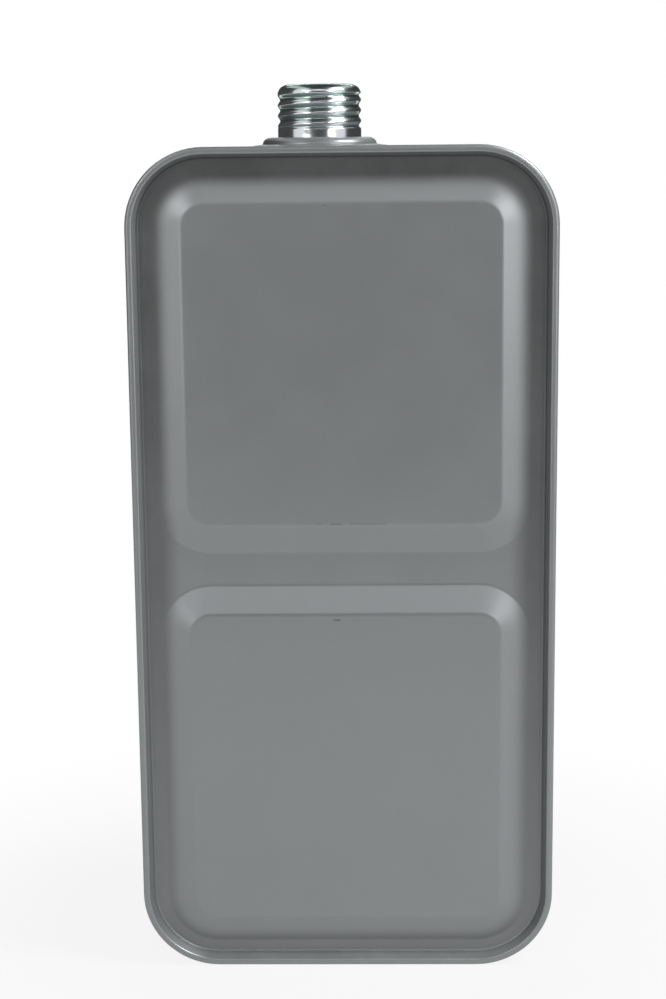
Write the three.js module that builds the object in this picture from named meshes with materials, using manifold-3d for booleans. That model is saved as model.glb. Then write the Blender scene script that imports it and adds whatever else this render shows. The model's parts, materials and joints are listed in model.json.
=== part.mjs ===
// Removable fuel tank of a portable heater. A bent steel band is closed by two pressed end plates,
// each folded onto the band in a double seam. A threaded filler neck is clamped to the top wall, a
// wire handle folds into a pocket in the bottom wall, and a float gauge sits in one narrow side.
// Millimetres. +Z is up, towards the neck, and the front plate faces -Y. The origin is on the
// standing plane, under the middle of the tank.
import * as THREE from "three";
import { mergeVertices } from "three/addons/utils/BufferGeometryUtils.js";
import Module from "manifold-3d";

const wasm = await Module();
wasm.setup();

// Tank
const WIDTH = 190; // over the seams
const HEIGHT = 377.4; // over the seams, without the neck
const DEPTH = 80; // from crest to crest of the two seams
const CORNER_R = 35; // outer edge of the seams
const SHEET = 0.6; // all pressed sheet
const CLEAR = 0.3; // between pieces that touch or turn in each other
const SEAT_GAP = 0.25; // between stacked flat pieces
const CORNER_STEPS = 8;

// Double seam
const FOLD_GAP = 0.25; // between two layers of the fold
const SEAM_LENGTH = 5.65; // from the crest to the end of the fold
const ROLL_R = 1; // outer edge of the crest
const CREST_FLAT = 0.9; // between the two roundings of the crest
const SHOULDER = 1.3; // rounding from the crest to the sunk wall
const SEAL_WIDE = 0.7; // sealing compound in the fold
const SEAL_THICK = 0.5;

// End plate
const SINK = 5.8; // field below the crest
const WALL_LEAN = 0.7; // sunk wall, out of square
const FIELD_FILLET = 0.8;
const PANEL_INSET = 24.4; // from the sides and the top to the flat of a raised panel
const PANEL_INSET_LOW = 23.1; // from the bottom to the lower flat
const PANEL_SLOPE = 12.8; // width of the slope round the flat
const PANEL_RISE = 4;
const PANEL_R = 10; // corner of the flat
const WEB = 41; // between the two flats
const WEB_Z = 189; // middle of the web

// Lap joint of the band
const LAP_WIDE = 6;
const LAP_Z = 150;

// Filler neck
const NECK_X = -10.1;
const STEP_RISE = 3.25; // drawn step above the top wall
const STEP_SHOULDER = 0.7; // fall of the step from the collar to its edge
const STEP_MARGIN = 0.9; // from the foot of the step to the seams
const STEP_FLANK = 2.5; // width of the steep side of the step
const NECK_R = 18.8; // plain part of the neck and crest of its thread
const NECK_BORE_R = 16.6;
const NECK_HEIGHT = 24.8; // flange to mouth
const NECK_FLANGE = 2.8; // flange beyond the plain part
const NECK_GASKET = 1.1; // thickness of the washer under the flange
const COLLAR_SIDE = 3.9; // width of the collar's domed side
const COLLAR_WALL = 1;
const THREAD_PITCH = 4.6;
const THREAD_DEEP = 1.05;
const THREAD_START = 4.9; // above the bottom of the flange
const THREAD_TURNS = 3.6;
const THREAD_PHASE = 296; // degrees from +X to the first crest
const LIP_IN = 0.35; // curl of the mouth inside the crest
const LIP_HIGH = 3.4; // curl of the mouth
const LIP_FLAT = 1; // flat ring on top of the curl
const MOUTH_R = 12.5;
const NECK_STEPS = 24;

// Handle
const POCKET_R = 7;
const POCKET_DEEP = 9.5;
const WIRE_R = 2.5;
const WIRE_BEND = 6;
const BAIL_WIDE = 92; // between the middles of the legs
const BAIL_REACH = 28; // pivot to grip
const BAIL_END = 4; // wire beyond the lug
const GRIP_R = 4.5;
const GRIP_END = 4; // from the grip to the bend of the wire
const LUG_THICK = 1.5;
const LUG_WIDE = 11;
const LUG_FOOT = 8;
const LUG_OFFSET = 4; // from the bend of the wire to the lug
const LUG_MARGIN = 2.25; // from the foot of the lug to the end of the pocket
const FINGER_ROOM = 3.5; // from the lug to the long wall of the pocket

// Gauge
const GAUGE_Z = 300;
const GAUGE_HOLE_R = 15;
const LENS_R = 20.2;
const LENS_THICK = 1.6;
const LENS_CROWN = 0.9;
const LENS_GASKET = 0.5; // thickness of the washer behind the lens
const SEAT_DEEP = 2.6;
const BEZEL_WALL = 0.8;
const BRACKET_THICK = 0.8;
const EAR_HIGH = 8;
const EAR_OUT = 1.6; // ears outside the gauge hole
const PIVOT_IN = 22; // pivot behind the outer face of the wall
const PIN_R = 1;
const PIN_HEAD = 0.8;
const HUB_R = 2.4;
const HUB_LONG = 12;
const ARM_R = 1;
const ARM_REACH = 42; // pivot to the middle of the float
const ARM_SWING = 25; // degrees to each side of level
const BRIDGE_AT = 5; // pivot to the stop bridge
const BRIDGE_RIM = 2;
const FLOAT_R = 10;
const FLOAT_LONG = 26;
const POINTER_REACH = 17;
const POINTER_WIDE = 12;
const POINTER_HIGH = 8;
const POINTER_THICK = 1.2;
const SOCKET_LONG = 4;
const SOCKET_WALL = 1;
const STOP_GAP = 0.15;

// Places that follow from the sizes
const FOLD_PITCH = SHEET + FOLD_GAP;
const SEAM_OUT = 3 * FOLD_PITCH; // outer edge of the seam to the outer face of the band
const LOW_TURN = SEAM_LENGTH - SHEET / 2 - FOLD_PITCH;
const BAND_TURN = SHEET + FOLD_GAP + SHEET / 2 + FOLD_PITCH;
const SEAL_TOP = BAND_TURN - FOLD_PITCH + SHEET / 2 + CLEAR;
const TOP_WALL = HEIGHT - SEAM_OUT;
const BOTTOM_WALL = SEAM_OUT;
const SIDE_WALL = WIDTH / 2 - SEAM_OUT;
const STEP_TOP = TOP_WALL + STEP_RISE;
const STEP_FOOT_R = DEPTH / 2 - SEAM_LENGTH - STEP_MARGIN;
const STEP_EDGE_R = STEP_FOOT_R - STEP_FLANK;
const NECK_FLANGE_R = NECK_R + NECK_FLANGE;
const NECK_BOTTOM = STEP_TOP + 2 * SEAT_GAP + NECK_GASKET;
const NECK_TOP = NECK_BOTTOM + NECK_HEIGHT;
const COLLAR_TOP = NECK_BOTTOM + 2 * SHEET + SEAT_GAP;
const COLLAR_R = NECK_FLANGE_R + CLEAR + COLLAR_SIDE;
const POCKET_FLOOR = BOTTOM_WALL + POCKET_DEEP;
const PIVOT_Z = POCKET_FLOOR - CLEAR - GRIP_R;
const PIVOT_Y = -BAIL_REACH / 2;
const GRIP_LONG = BAIL_WIDE - 2 * (WIRE_BEND + GRIP_END);
const LUG_X = BAIL_WIDE / 2 + WIRE_BEND + LUG_OFFSET;
const POCKET_X = 2 * (LUG_X + LUG_THICK / 2 + LUG_FOOT + LUG_MARGIN);
const POCKET_Y = BAIL_REACH + LUG_WIDE + 2 * FINGER_ROOM;
const SEAT_R = LENS_R + 2 * CLEAR + BEZEL_WALL;
const LENS_BACK = -SEAT_DEEP + 2 * SEAT_GAP + LENS_GASKET;
const BEZEL_BACK = LENS_BACK + LENS_THICK + SEAT_GAP;
const EAR_Y = GAUGE_HOLE_R + EAR_OUT;
const ARM_ANGLE = THREE.MathUtils.degToRad(ARM_SWING);

// Points of an arc, angles in degrees.
function arc(x, y, rx, ry, from, to, steps) {
  const points = [];
  for (let i = 0; i <= steps; i++) {
    const a = THREE.MathUtils.degToRad(from + ((to - from) * i) / steps);
    points.push([x + rx * Math.cos(a), y + ry * Math.sin(a)]);
  }
  return points;
}

// The path moved sideways, to the right of its direction, with mitred corners.
function offsetPath(path, distance) {
  const normals = path.slice(1).map(([x, y], i) => {
    const length = Math.hypot(x - path[i][0], y - path[i][1]);
    return [(y - path[i][1]) / length, (path[i][0] - x) / length];
  });
  return path.map(([x, y], i) => {
    const a = normals[Math.max(i - 1, 0)];
    const b = normals[Math.min(i, normals.length - 1)];
    const k = distance / (1 + a[0] * b[0] + a[1] * b[1]);
    return [x + k * (a[0] + b[0]), y + k * (a[1] + b[1])];
  });
}

// A rounded rectangle about the origin, anticlockwise.
function roundedOutline(halfX, halfY, radius) {
  const x = halfX - radius;
  const y = halfY - radius;
  return [
    ...arc(x, y, radius, radius, 0, 90, CORNER_STEPS),
    ...arc(-x, y, radius, radius, 90, 180, CORNER_STEPS),
    ...arc(-x, -y, radius, radius, 180, 270, CORNER_STEPS),
    ...arc(x, -y, radius, radius, 270, 360, CORNER_STEPS),
  ];
}

// A closed surface put together from loops of points.
class Facets {
  positions = [];
  index = [];

  loop(points) {
    const first = this.positions.length / 3;
    for (const point of points) this.positions.push(...point);
    return points.map((_, i) => first + i);
  }

  // Quads between two loops of as many points, facing right of the way from a to b.
  stitch(a, b) {
    a.forEach((start, i) => {
      const j = (i + 1) % a.length;
      this.index.push(start, a[j], b[j], start, b[j], b[i]);
    });
  }

  // A flat field in the XZ plane, inside a loop and outside the holes.
  field(outline, holes, facesFront) {
    const at = (i) => new THREE.Vector2(this.positions[3 * i], this.positions[3 * i + 2]);
    const flat = (loop) => loop.map(at);
    const all = [outline, ...holes].flat();
    for (const face of THREE.ShapeUtils.triangulateShape(flat(outline), holes.map(flat))) {
      const corners = face.map((i) => all[i]);
      if (THREE.ShapeUtils.isClockWise(flat(corners)) === facesFront) corners.reverse();
      this.index.push(...corners);
    }
  }

  geometry() {
    const positions = new THREE.Float32BufferAttribute(this.positions, 3);
    return new THREE.BufferGeometry().setAttribute("position", positions).setIndex(this.index);
  }
}

function signedVolume(geometry) {
  const { index, attributes } = geometry;
  const [a, b, c] = [0, 1, 2].map(() => new THREE.Vector3());
  let volume = 0;
  for (let i = 0; i < index.count; i += 3) {
    [a, b, c].forEach((v, k) => v.fromBufferAttribute(attributes.position, index.getX(i + k)));
    volume += a.dot(b.cross(c)) / 6;
  }
  return volume;
}

// The geometry with shared vertices, without empty triangles, and with its faces pointing out.
function closed(geometry) {
  const bare = geometry.clone();
  bare.deleteAttribute("normal");
  bare.deleteAttribute("uv");
  const merged = mergeVertices(bare, 1e-4);
  const index = [];
  for (let i = 0; i < merged.index.count; i += 3) {
    const [a, b, c] = [0, 1, 2].map((k) => merged.index.getX(i + k));
    if (a !== b && b !== c && c !== a) index.push(a, b, c);
  }
  merged.setIndex(index);
  if (signedVolume(merged) < 0) merged.setIndex(index.reverse());
  return merged;
}

function solid(geometry) {
  const body = closed(geometry);
  const vertProperties = new Float32Array(body.attributes.position.array);
  const triVerts = new Uint32Array(body.index.array);
  return new wasm.Manifold(new wasm.Mesh({ numProp: 3, vertProperties, triVerts }));
}

function geometryOf(body) {
  const mesh = body.getMesh();
  return new THREE.BufferGeometry()
    .setAttribute("position", new THREE.Float32BufferAttribute(mesh.vertProperties, 3))
    .setIndex(Array.from(mesh.triVerts));
}

function vectors(points) {
  return points.map(([x, y]) => new THREE.Vector2(x, y));
}

// Solids of revolution about Y, X and Z from a profile of [radius, height] points.
function turnedY(profile, steps) {
  return new THREE.LatheGeometry(vectors(profile), steps);
}

function turnedX(profile, steps) {
  return turnedY(profile, steps).rotateZ(-Math.PI / 2);
}

function turnedZ(profile, steps) {
  return turnedY(profile, steps).rotateX(Math.PI / 2);
}

function rodProfile(radius, from, to) {
  return [[0, from], [radius, from], [radius, to], [0, to]];
}

function tubeProfile(inner, outer, from, to) {
  return [[inner, from], [outer, from], [outer, to], [inner, to], [inner, from]];
}

function box(x0, x1, y0, y1, z0, z1) {
  const block = new THREE.BoxGeometry(x1 - x0, y1 - y0, z1 - z0);
  return block.translate((x0 + x1) / 2, (y0 + y1) / 2, (z0 + z1) / 2);
}

// The handle pocket's outline, grown by a thickness, as an upright block.
function pocketBlock(grow, z0, z1) {
  const outline = roundedOutline(POCKET_X / 2 + grow, POCKET_Y / 2 + grow, POCKET_R + grow);
  const shape = new THREE.Shape(vectors(outline));
  const options = { depth: z1 - z0, bevelEnabled: false };
  return new THREE.ExtrudeGeometry(shape, options).translate(0, 0, z0);
}

// Middle of layer k of the fold, counted from the outer edge of the seam.
function layer(k) {
  return SHEET / 2 + k * FOLD_PITCH;
}

// The tank's outline, a distance inside the outer edge and behind the front crest.
function seamLoop([inside, behind]) {
  const outline = roundedOutline(WIDTH / 2 - inside, HEIGHT / 2 - inside, CORNER_R - inside);
  return outline.map(([x, z]) => [x, behind - DEPTH / 2, z + HEIGHT / 2]);
}

// Section of an end plate along its middle, from the hook inside the fold to the field.
function platePath() {
  const crest = layer(0) + ROLL_R + CREST_FLAT;
  const wallFoot = layer(4) + WALL_LEAN;
  const field = SINK + SHEET / 2;
  return [
    [layer(2), SEAL_TOP + SEAL_THICK + FOLD_GAP],
    ...arc(layer(1), LOW_TURN, FOLD_PITCH, FOLD_PITCH, 0, 180, 4),
    ...arc(layer(0) + ROLL_R, SHEET / 2 + ROLL_R, ROLL_R, ROLL_R, 180, 270, 2),
    ...arc(crest, SHEET / 2 + SHOULDER, layer(4) - crest, SHOULDER, 270, 360, 3),
    ...arc(wallFoot + FIELD_FILLET, field - FIELD_FILLET, FIELD_FILLET, FIELD_FILLET, 180, 90, 2),
  ];
}

// Outline of the upper (1) or lower (-1) raised panel, grown beyond its flat.
function panelLoop(side, grow, behind) {
  const halfX = WIDTH / 2 - PANEL_INSET;
  const near = WEB_Z + (side * WEB) / 2;
  const far = side > 0 ? HEIGHT - PANEL_INSET : PANEL_INSET_LOW;
  const halfZ = Math.abs(far - near) / 2;
  const outline = roundedOutline(halfX + grow, halfZ + grow, PANEL_R + grow);
  return outline.map(([x, z]) => [x, behind - DEPTH / 2, z + (near + far) / 2]);
}

// One face of the plate's field with its two raised panels.
function plateField(facets, edge, behind, facesFront) {
  const feet = [1, -1].map((side) => facets.loop(panelLoop(side, PANEL_SLOPE, behind)));
  const flats = [1, -1].map((side) => facets.loop(panelLoop(side, 0, behind - PANEL_RISE)));
  facets.field(edge, feet, facesFront);
  feet.forEach((foot, i) => {
    const [a, b] = facesFront ? [foot, flats[i]] : [flats[i], foot];
    facets.stitch(a, b);
    facets.field(flats[i], [], facesFront);
  });
}

function endPlate() {
  const facets = new Facets();
  const path = platePath();
  const front = offsetPath(path, SHEET / 2).map((point) => facets.loop(seamLoop(point)));
  const back = offsetPath(path, -SHEET / 2).map((point) => facets.loop(seamLoop(point)));
  facets.stitch(back[0], front[0]);
  for (let i = 1; i < path.length; i++) {
    facets.stitch(front[i - 1], front[i]);
    facets.stitch(back[i], back[i - 1]);
  }
  plateField(facets, front.at(-1), SINK, true);
  plateField(facets, back.at(-1), SINK + SHEET, false);
  return facets.geometry();
}

// A ring round the tank with a closed section of [inside, behind] points.
function seamRing(section) {
  const facets = new Facets();
  const loops = section.map((point) => facets.loop(seamLoop(point)));
  loops.forEach((loop, i) => facets.stitch(loop, loops[(i + 1) % loops.length]));
  return facets.geometry();
}

function seamSeal() {
  const [a, b] = [layer(2) - SEAL_WIDE / 2, layer(2) + SEAL_WIDE / 2];
  const [c, d] = [SEAL_TOP, SEAL_TOP + SEAL_THICK];
  return seamRing([[a, c], [b, c], [b, d], [a, d]]);
}

// The band as it is bent round, with a hook along each edge.
function bentStrip() {
  const half = [
    [layer(1), LOW_TURN - FOLD_GAP],
    ...arc(layer(2), BAND_TURN, FOLD_PITCH, FOLD_PITCH, 180, 360, 4),
  ];
  const path = [...half, ...half.map(([inside, behind]) => [inside, DEPTH - behind]).reverse()];
  return seamRing([...offsetPath(path, SHEET / 2), ...offsetPath(path, -SHEET / 2).reverse()]);
}

// Profile of the drawn step under the neck, its outer face lowered by a thickness.
function stepProfile(thin, bottom) {
  return [
    [0, bottom],
    [STEP_FOOT_R - thin, bottom],
    [STEP_FOOT_R - thin, TOP_WALL - thin],
    [STEP_EDGE_R - thin, STEP_TOP - STEP_SHOULDER - thin],
    [COLLAR_R + CLEAR - thin, STEP_TOP - thin],
    [0, STEP_TOP - thin],
  ];
}

function bodyBand() {
  const middle = SHEET / 2;
  const lapY = DEPTH / 2 - SEAM_LENGTH - STEP_MARGIN;
  const lap = box(-SIDE_WALL - SHEET, middle - SIDE_WALL, -lapY, lapY, LAP_Z, LAP_Z + LAP_WIDE);
  const step = turnedZ(stepProfile(0, TOP_WALL - middle), 32).translate(NECK_X, 0, 0);
  const underStep = turnedZ(stepProfile(SHEET, TOP_WALL - 2 * SHEET), 32).translate(NECK_X, 0, 0);
  const hole = turnedZ(rodProfile(NECK_BORE_R, TOP_WALL, NECK_TOP), 24).translate(NECK_X, 0, 0);
  const pan = pocketBlock(SHEET, BOTTOM_WALL + middle, POCKET_FLOOR + SHEET);
  const pocket = pocketBlock(0, 0, POCKET_FLOOR);
  const seat = turnedX(rodProfile(SEAT_R + SHEET, -SEAT_DEEP - SHEET, -middle), 32);
  const seatHollow = turnedX(rodProfile(SEAT_R, -SEAT_DEEP, SEAM_OUT), 32);
  const window = turnedX(rodProfile(GAUGE_HOLE_R, -PIVOT_IN, SEAM_OUT), 32);
  for (const piece of [seat, seatHollow, window]) piece.translate(SIDE_WALL, 0, GAUGE_Z);
  const joined = [lap, step, pan, seat].reduce((body, piece) => body.add(solid(piece)), solid(bentStrip()));
  const cuts = [underStep, hole, pocket, seatHollow, window];
  return geometryOf(cuts.reduce((body, piece) => body.subtract(solid(piece)), joined));
}

function neckCollar() {
  const base = STEP_TOP + SEAT_GAP;
  const edge = COLLAR_R - COLLAR_SIDE;
  const hole = NECK_R + CLEAR;
  const under = COLLAR_TOP - SHEET;
  return turnedZ([
    [COLLAR_R - COLLAR_WALL, base],
    ...arc(edge, base, COLLAR_SIDE, COLLAR_TOP - base, 0, 90, 4),
    [hole, COLLAR_TOP],
    [hole, under],
    ...arc(edge, base, COLLAR_SIDE - COLLAR_WALL, under - base, 90, 0, 4),
  ], 32);
}

function neckGasket() {
  const bottom = STEP_TOP + SEAT_GAP;
  return turnedZ(tubeProfile(NECK_BORE_R + CLEAR, NECK_FLANGE_R, bottom, bottom + NECK_GASKET), 32);
}

// Radius of the rolled thread at a height above its start and an angle about the neck.
function threadRadius(height, angle) {
  const length = THREAD_TURNS * THREAD_PITCH;
  const run = THREE.MathUtils.smoothstep(height, 0, THREAD_PITCH / 3);
  const end = THREE.MathUtils.smoothstep(length - height, 0, THREAD_PITCH / 3);
  const phase = angle + THREE.MathUtils.degToRad(THREAD_PHASE);
  const wave = Math.cos((2 * Math.PI * height) / THREAD_PITCH - phase) / 2 - 0.5;
  return NECK_R + Math.min(run, end) * THREAD_DEEP * wave;
}

// Profile of the curled mouth, from the bead over the top to the bore.
function lipProfile() {
  const bead = NECK_R - LIP_IN;
  const low = NECK_TOP - LIP_HIGH;
  const top = MOUTH_R + LIP_FLAT;
  return [
    ...arc(top, low, bead - top, LIP_HIGH, 0, 90, 4),
    [MOUTH_R + SHEET / 2, NECK_TOP],
    [MOUTH_R, NECK_TOP - SHEET / 2],
    [MOUTH_R, NECK_TOP - 2 * SHEET],
    [(MOUTH_R + NECK_BORE_R) / 2, NECK_TOP - 3 * SHEET],
    [NECK_BORE_R, low],
    [NECK_BORE_R, NECK_BOTTOM],
  ];
}

function fillerNeck() {
  const facets = new Facets();
  const angles = Array.from({ length: NECK_STEPS }, (_, i) => (2 * Math.PI * i) / NECK_STEPS);
  const ring = (radiusAt, z) => facets.loop(
    angles.map((a) => [radiusAt(a) * Math.cos(a), radiusAt(a) * Math.sin(a), z]),
  );
  const rows = [
    ring(() => NECK_FLANGE_R, NECK_BOTTOM),
    ring(() => NECK_FLANGE_R, NECK_BOTTOM + SHEET),
    ring(() => NECK_R, NECK_BOTTOM + SHEET),
  ];
  const steps = Math.round(THREAD_TURNS * 6);
  for (let i = 0; i <= steps; i++) {
    const height = (THREAD_TURNS * THREAD_PITCH * i) / steps;
    rows.push(ring((a) => threadRadius(height, a), NECK_BOTTOM + THREAD_START + height));
  }
  for (const [r, z] of lipProfile()) rows.push(ring(() => r, z));
  rows.forEach((row, i) => facets.stitch(row, rows[(i + 1) % rows.length]));
  return facets.geometry();
}

// A wire through corner points, with its corners bent to a radius.
function bentWire(corners, bend, radius, sides, steps) {
  const points = corners.map((corner) => new THREE.Vector3(...corner));
  const path = new THREE.CurvePath();
  let start = points[0];
  for (let i = 1; i < points.length - 1; i++) {
    const before = points[i].clone().add(points[i - 1].clone().sub(points[i]).setLength(bend));
    const after = points[i].clone().add(points[i + 1].clone().sub(points[i]).setLength(bend));
    path.add(new THREE.LineCurve3(start, before));
    path.add(new THREE.QuadraticBezierCurve3(before, points[i], after));
    start = after;
  }
  path.add(new THREE.LineCurve3(start, points.at(-1)));
  const section = new THREE.Shape(vectors(arc(0, 0, radius, radius, 0, 360, sides).slice(1)));
  return new THREE.ExtrudeGeometry(section, { steps, extrudePath: path, bevelEnabled: false });
}

function handleBail() {
  const end = LUG_X + LUG_THICK / 2 + BAIL_END;
  const leg = BAIL_WIDE / 2;
  return bentWire([
    [-end, 0, 0],
    [-leg, 0, 0],
    [-leg, BAIL_REACH, 0],
    [leg, BAIL_REACH, 0],
    [leg, 0, 0],
    [end, 0, 0],
  ], WIRE_BEND, WIRE_R, 10, 56);
}

function handleGrip() {
  const round = GRIP_R / 4;
  const half = GRIP_LONG / 2;
  return turnedX([
    [WIRE_R + CLEAR, -half],
    [GRIP_R - round, -half],
    [GRIP_R, round - half],
    [GRIP_R, half - round],
    [GRIP_R - round, half],
    [WIRE_R + CLEAR, half],
    [WIRE_R + CLEAR, -half],
  ], 16).translate(0, BAIL_REACH, 0);
}

// Welded ear with its foot away from the bail, about the pivot. The right one is turned to fit.
function handleLug(side) {
  const top = POCKET_FLOOR - CLEAR - PIVOT_Z;
  const half = LUG_WIDE / 2;
  const face = LUG_THICK / 2;
  const ear = solid(box(-face, face, -half, half, -WIRE_R - LUG_THICK, top));
  const foot = solid(box(0, face + LUG_FOOT, -half, half, top - LUG_THICK, top));
  const hole = solid(turnedX(rodProfile(WIRE_R + CLEAR, -LUG_THICK, LUG_THICK), 16));
  const geometry = geometryOf(ear.add(foot).subtract(hole));
  return side < 0 ? geometry.rotateZ(Math.PI) : geometry;
}

function gaugeGasket() {
  const back = SEAT_GAP - SEAT_DEEP;
  return turnedX(tubeProfile(GAUGE_HOLE_R + CLEAR, LENS_R - CLEAR, back, back + LENS_GASKET), 32);
}

function gaugeLens() {
  const face = LENS_BACK + LENS_THICK;
  const crown = GAUGE_HOLE_R - LENS_CROWN;
  return turnedX([
    [0, LENS_BACK],
    [LENS_R, LENS_BACK],
    [LENS_R, face],
    [GAUGE_HOLE_R - CLEAR, face],
    [crown, face + LENS_CROWN],
    [0, face + LENS_CROWN],
  ], 32);
}

function gaugeBezel() {
  const skirt = LENS_R + CLEAR;
  const rim = skirt + BEZEL_WALL;
  return turnedX([
    [skirt, SEAT_GAP - SEAT_DEEP],
    [rim, SEAT_GAP - SEAT_DEEP],
    [rim, BEZEL_BACK],
    [rim - SHEET, BEZEL_BACK + SHEET],
    [GAUGE_HOLE_R, BEZEL_BACK + SHEET],
    [GAUGE_HOLE_R, BEZEL_BACK],
    [skirt, BEZEL_BACK],
    [skirt, SEAT_GAP - SEAT_DEEP],
  ], 32);
}

// Ring behind the seat with two ears, joined by a slotted bridge that stops the arm.
function gaugeBracket() {
  const back = -SEAT_DEEP - SHEET - SEAT_GAP;
  const ringBack = back - BRACKET_THICK;
  const bridgeNear = -PIVOT_IN - BRIDGE_AT;
  const bridgeFar = bridgeNear - BRACKET_THICK;
  const earOut = EAR_Y + BRACKET_THICK;
  const slotY = ARM_R + CLEAR;
  const travel = (BRIDGE_AT + BRACKET_THICK) * Math.tan(ARM_ANGLE) + ARM_R / Math.cos(ARM_ANGLE);
  const slotZ = travel + STOP_GAP;
  const bridgeZ = slotZ + BRIDGE_RIM;
  const ring = turnedX(tubeProfile(GAUGE_HOLE_R, LENS_R, ringBack, back), 32);
  const ears = [-1, 1].map((side) => {
    const [y0, y1] = side > 0 ? [EAR_Y, earOut] : [-earOut, -EAR_Y];
    return box(bridgeFar, (ringBack + back) / 2, y0, y1, -EAR_HIGH / 2, EAR_HIGH / 2);
  });
  const bridge = box(bridgeFar, bridgeNear, -earOut, earOut, -bridgeZ, bridgeZ);
  const slot = box(bridgeFar - CLEAR, bridgeNear + CLEAR, -slotY, slotY, -slotZ, slotZ);
  const pinHole = turnedY(rodProfile(PIN_R + CLEAR, -2 * earOut, 2 * earOut), 16).translate(-PIVOT_IN, 0, 0);
  const joined = [...ears, bridge].reduce((body, piece) => body.add(solid(piece)), solid(ring));
  return geometryOf(joined.subtract(solid(slot)).subtract(solid(pinHole)));
}

function gaugePivotPin() {
  const face = EAR_Y + BRACKET_THICK + CLEAR;
  const end = face + PIN_HEAD;
  const head = PIN_R + PIN_HEAD;
  return turnedY([
    [0, -end],
    [head, -end],
    [head, -face],
    [PIN_R, -face],
    [PIN_R, face],
    [head, face],
    [head, end],
    [0, end],
  ], 12);
}

// Hub with its wire, level, about the pivot.
function gaugeArm() {
  const hub = solid(turnedY(rodProfile(HUB_R, -HUB_LONG / 2, HUB_LONG / 2), 16));
  const wire = solid(turnedX(rodProfile(ARM_R, -ARM_REACH, POINTER_REACH), 8));
  const bore = solid(turnedY(rodProfile(PIN_R + CLEAR, -HUB_LONG, HUB_LONG), 16));
  return geometryOf(hub.add(wire).subtract(bore));
}

function gaugeFloat() {
  const round = FLOAT_R / 5;
  const half = FLOAT_LONG / 2;
  const body = turnedY([
    [0, -half],
    [FLOAT_R - round, -half],
    [FLOAT_R, round - half],
    [FLOAT_R, half - round],
    [FLOAT_R - round, half],
    [0, half],
  ], 20);
  const socket = turnedX(rodProfile(ARM_R + CLEAR, -CLEAR, 2 * FLOAT_R), 12);
  return geometryOf(solid(body).subtract(solid(socket))).translate(-ARM_REACH, 0, 0);
}

function gaugePointer() {
  const back = POINTER_REACH + CLEAR - SOCKET_LONG;
  const face = POINTER_REACH + CLEAR + POINTER_THICK;
  const [y, z] = [POINTER_WIDE / 2, POINTER_HIGH / 2];
  const plate = solid(box(face - POINTER_THICK, face, -y, y, -z, z));
  const socket = solid(turnedX(rodProfile(ARM_R + CLEAR + SOCKET_WALL, back, face - POINTER_THICK / 2), 12));
  const bore = solid(turnedX(rodProfile(ARM_R + CLEAR, back - CLEAR, face - POINTER_THICK), 12));
  return geometryOf(plate.add(socket).subtract(bore));
}

const paint = () => new THREE.MeshStandardMaterial({ color: 0x85888a, roughness: 0.45, metalness: 0.2 });
const zinc = () => new THREE.MeshStandardMaterial({ color: 0xc3c8ca, roughness: 0.18, metalness: 1 });
const rubber = () => new THREE.MeshStandardMaterial({ color: 0x1c1c1c, roughness: 0.8, metalness: 0 });
const blackPlastic = () => new THREE.MeshStandardMaterial({ color: 0x26272a, roughness: 0.5, metalness: 0 });
const redPlastic = () => new THREE.MeshStandardMaterial({ color: 0xb02a20, roughness: 0.4, metalness: 0 });
const foam = () => new THREE.MeshStandardMaterial({ color: 0xd6cdb2, roughness: 0.9, metalness: 0 });
const clearPlastic = () => new THREE.MeshStandardMaterial({
  color: 0xdfe6e6, roughness: 0.08, metalness: 0, transparent: true, opacity: 0.35,
});

function piece(parent, name, geometry, material) {
  const mesh = new THREE.Mesh(closed(geometry), material);
  mesh.geometry.computeVertexNormals();
  mesh.name = name;
  parent.add(mesh);
  return mesh;
}

function placed(parent, x, y, z) {
  const group = new THREE.Group();
  group.position.set(x, y, z);
  parent.add(group);
  return group;
}

function addShell(tank) {
  piece(tank, "front_panel", endPlate(), paint());
  piece(tank, "rear_panel", endPlate(), paint()).rotation.z = Math.PI;
  piece(tank, "body_band", bodyBand(), paint());
  piece(tank, "front_seam_seal", seamSeal(), rubber());
  piece(tank, "rear_seam_seal", seamSeal(), rubber()).rotation.z = Math.PI;
}

function addNeck(tank) {
  const neck = placed(tank, NECK_X, 0, 0);
  piece(neck, "neck_collar", neckCollar(), paint());
  piece(neck, "neck_gasket", neckGasket(), rubber());
  piece(neck, "filler_neck", fillerNeck(), zinc());
}

function addHandle(tank) {
  const pivot = placed(tank, 0, PIVOT_Y, PIVOT_Z);
  piece(pivot, "handle_bail", handleBail(), zinc());
  piece(pivot, "handle_grip", handleGrip(), blackPlastic());
  piece(pivot, "handle_lug_left", handleLug(-1), paint()).position.x = -LUG_X;
  piece(pivot, "handle_lug_right", handleLug(1), paint()).position.x = LUG_X;
}

function addGauge(tank) {
  const gauge = placed(tank, SIDE_WALL, 0, GAUGE_Z);
  piece(gauge, "gauge_gasket", gaugeGasket(), rubber());
  piece(gauge, "gauge_lens", gaugeLens(), clearPlastic());
  piece(gauge, "gauge_bezel", gaugeBezel(), zinc());
  piece(gauge, "gauge_bracket", gaugeBracket(), zinc());
  const pivot = placed(gauge, -PIVOT_IN, 0, 0);
  piece(pivot, "gauge_pivot_pin", gaugePivotPin(), zinc());
  const arm = placed(pivot, 0, 0, 0);
  arm.rotation.y = -ARM_ANGLE; // the float hangs on its lower stop
  piece(arm, "gauge_arm", gaugeArm(), zinc());
  piece(arm, "gauge_float", gaugeFloat(), foam());
  piece(arm, "gauge_pointer", gaugePointer(), redPlastic());
}

const tank = new THREE.Group();
tank.name = "portable_fuel_tank";
addShell(tank);
addNeck(tank);
addHandle(tank);
addGauge(tank);

export default tank;
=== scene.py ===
"""Looks of a portable fuel tank, built piece by piece around its packed model. Metres, Z up."""

import json
import math

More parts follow.
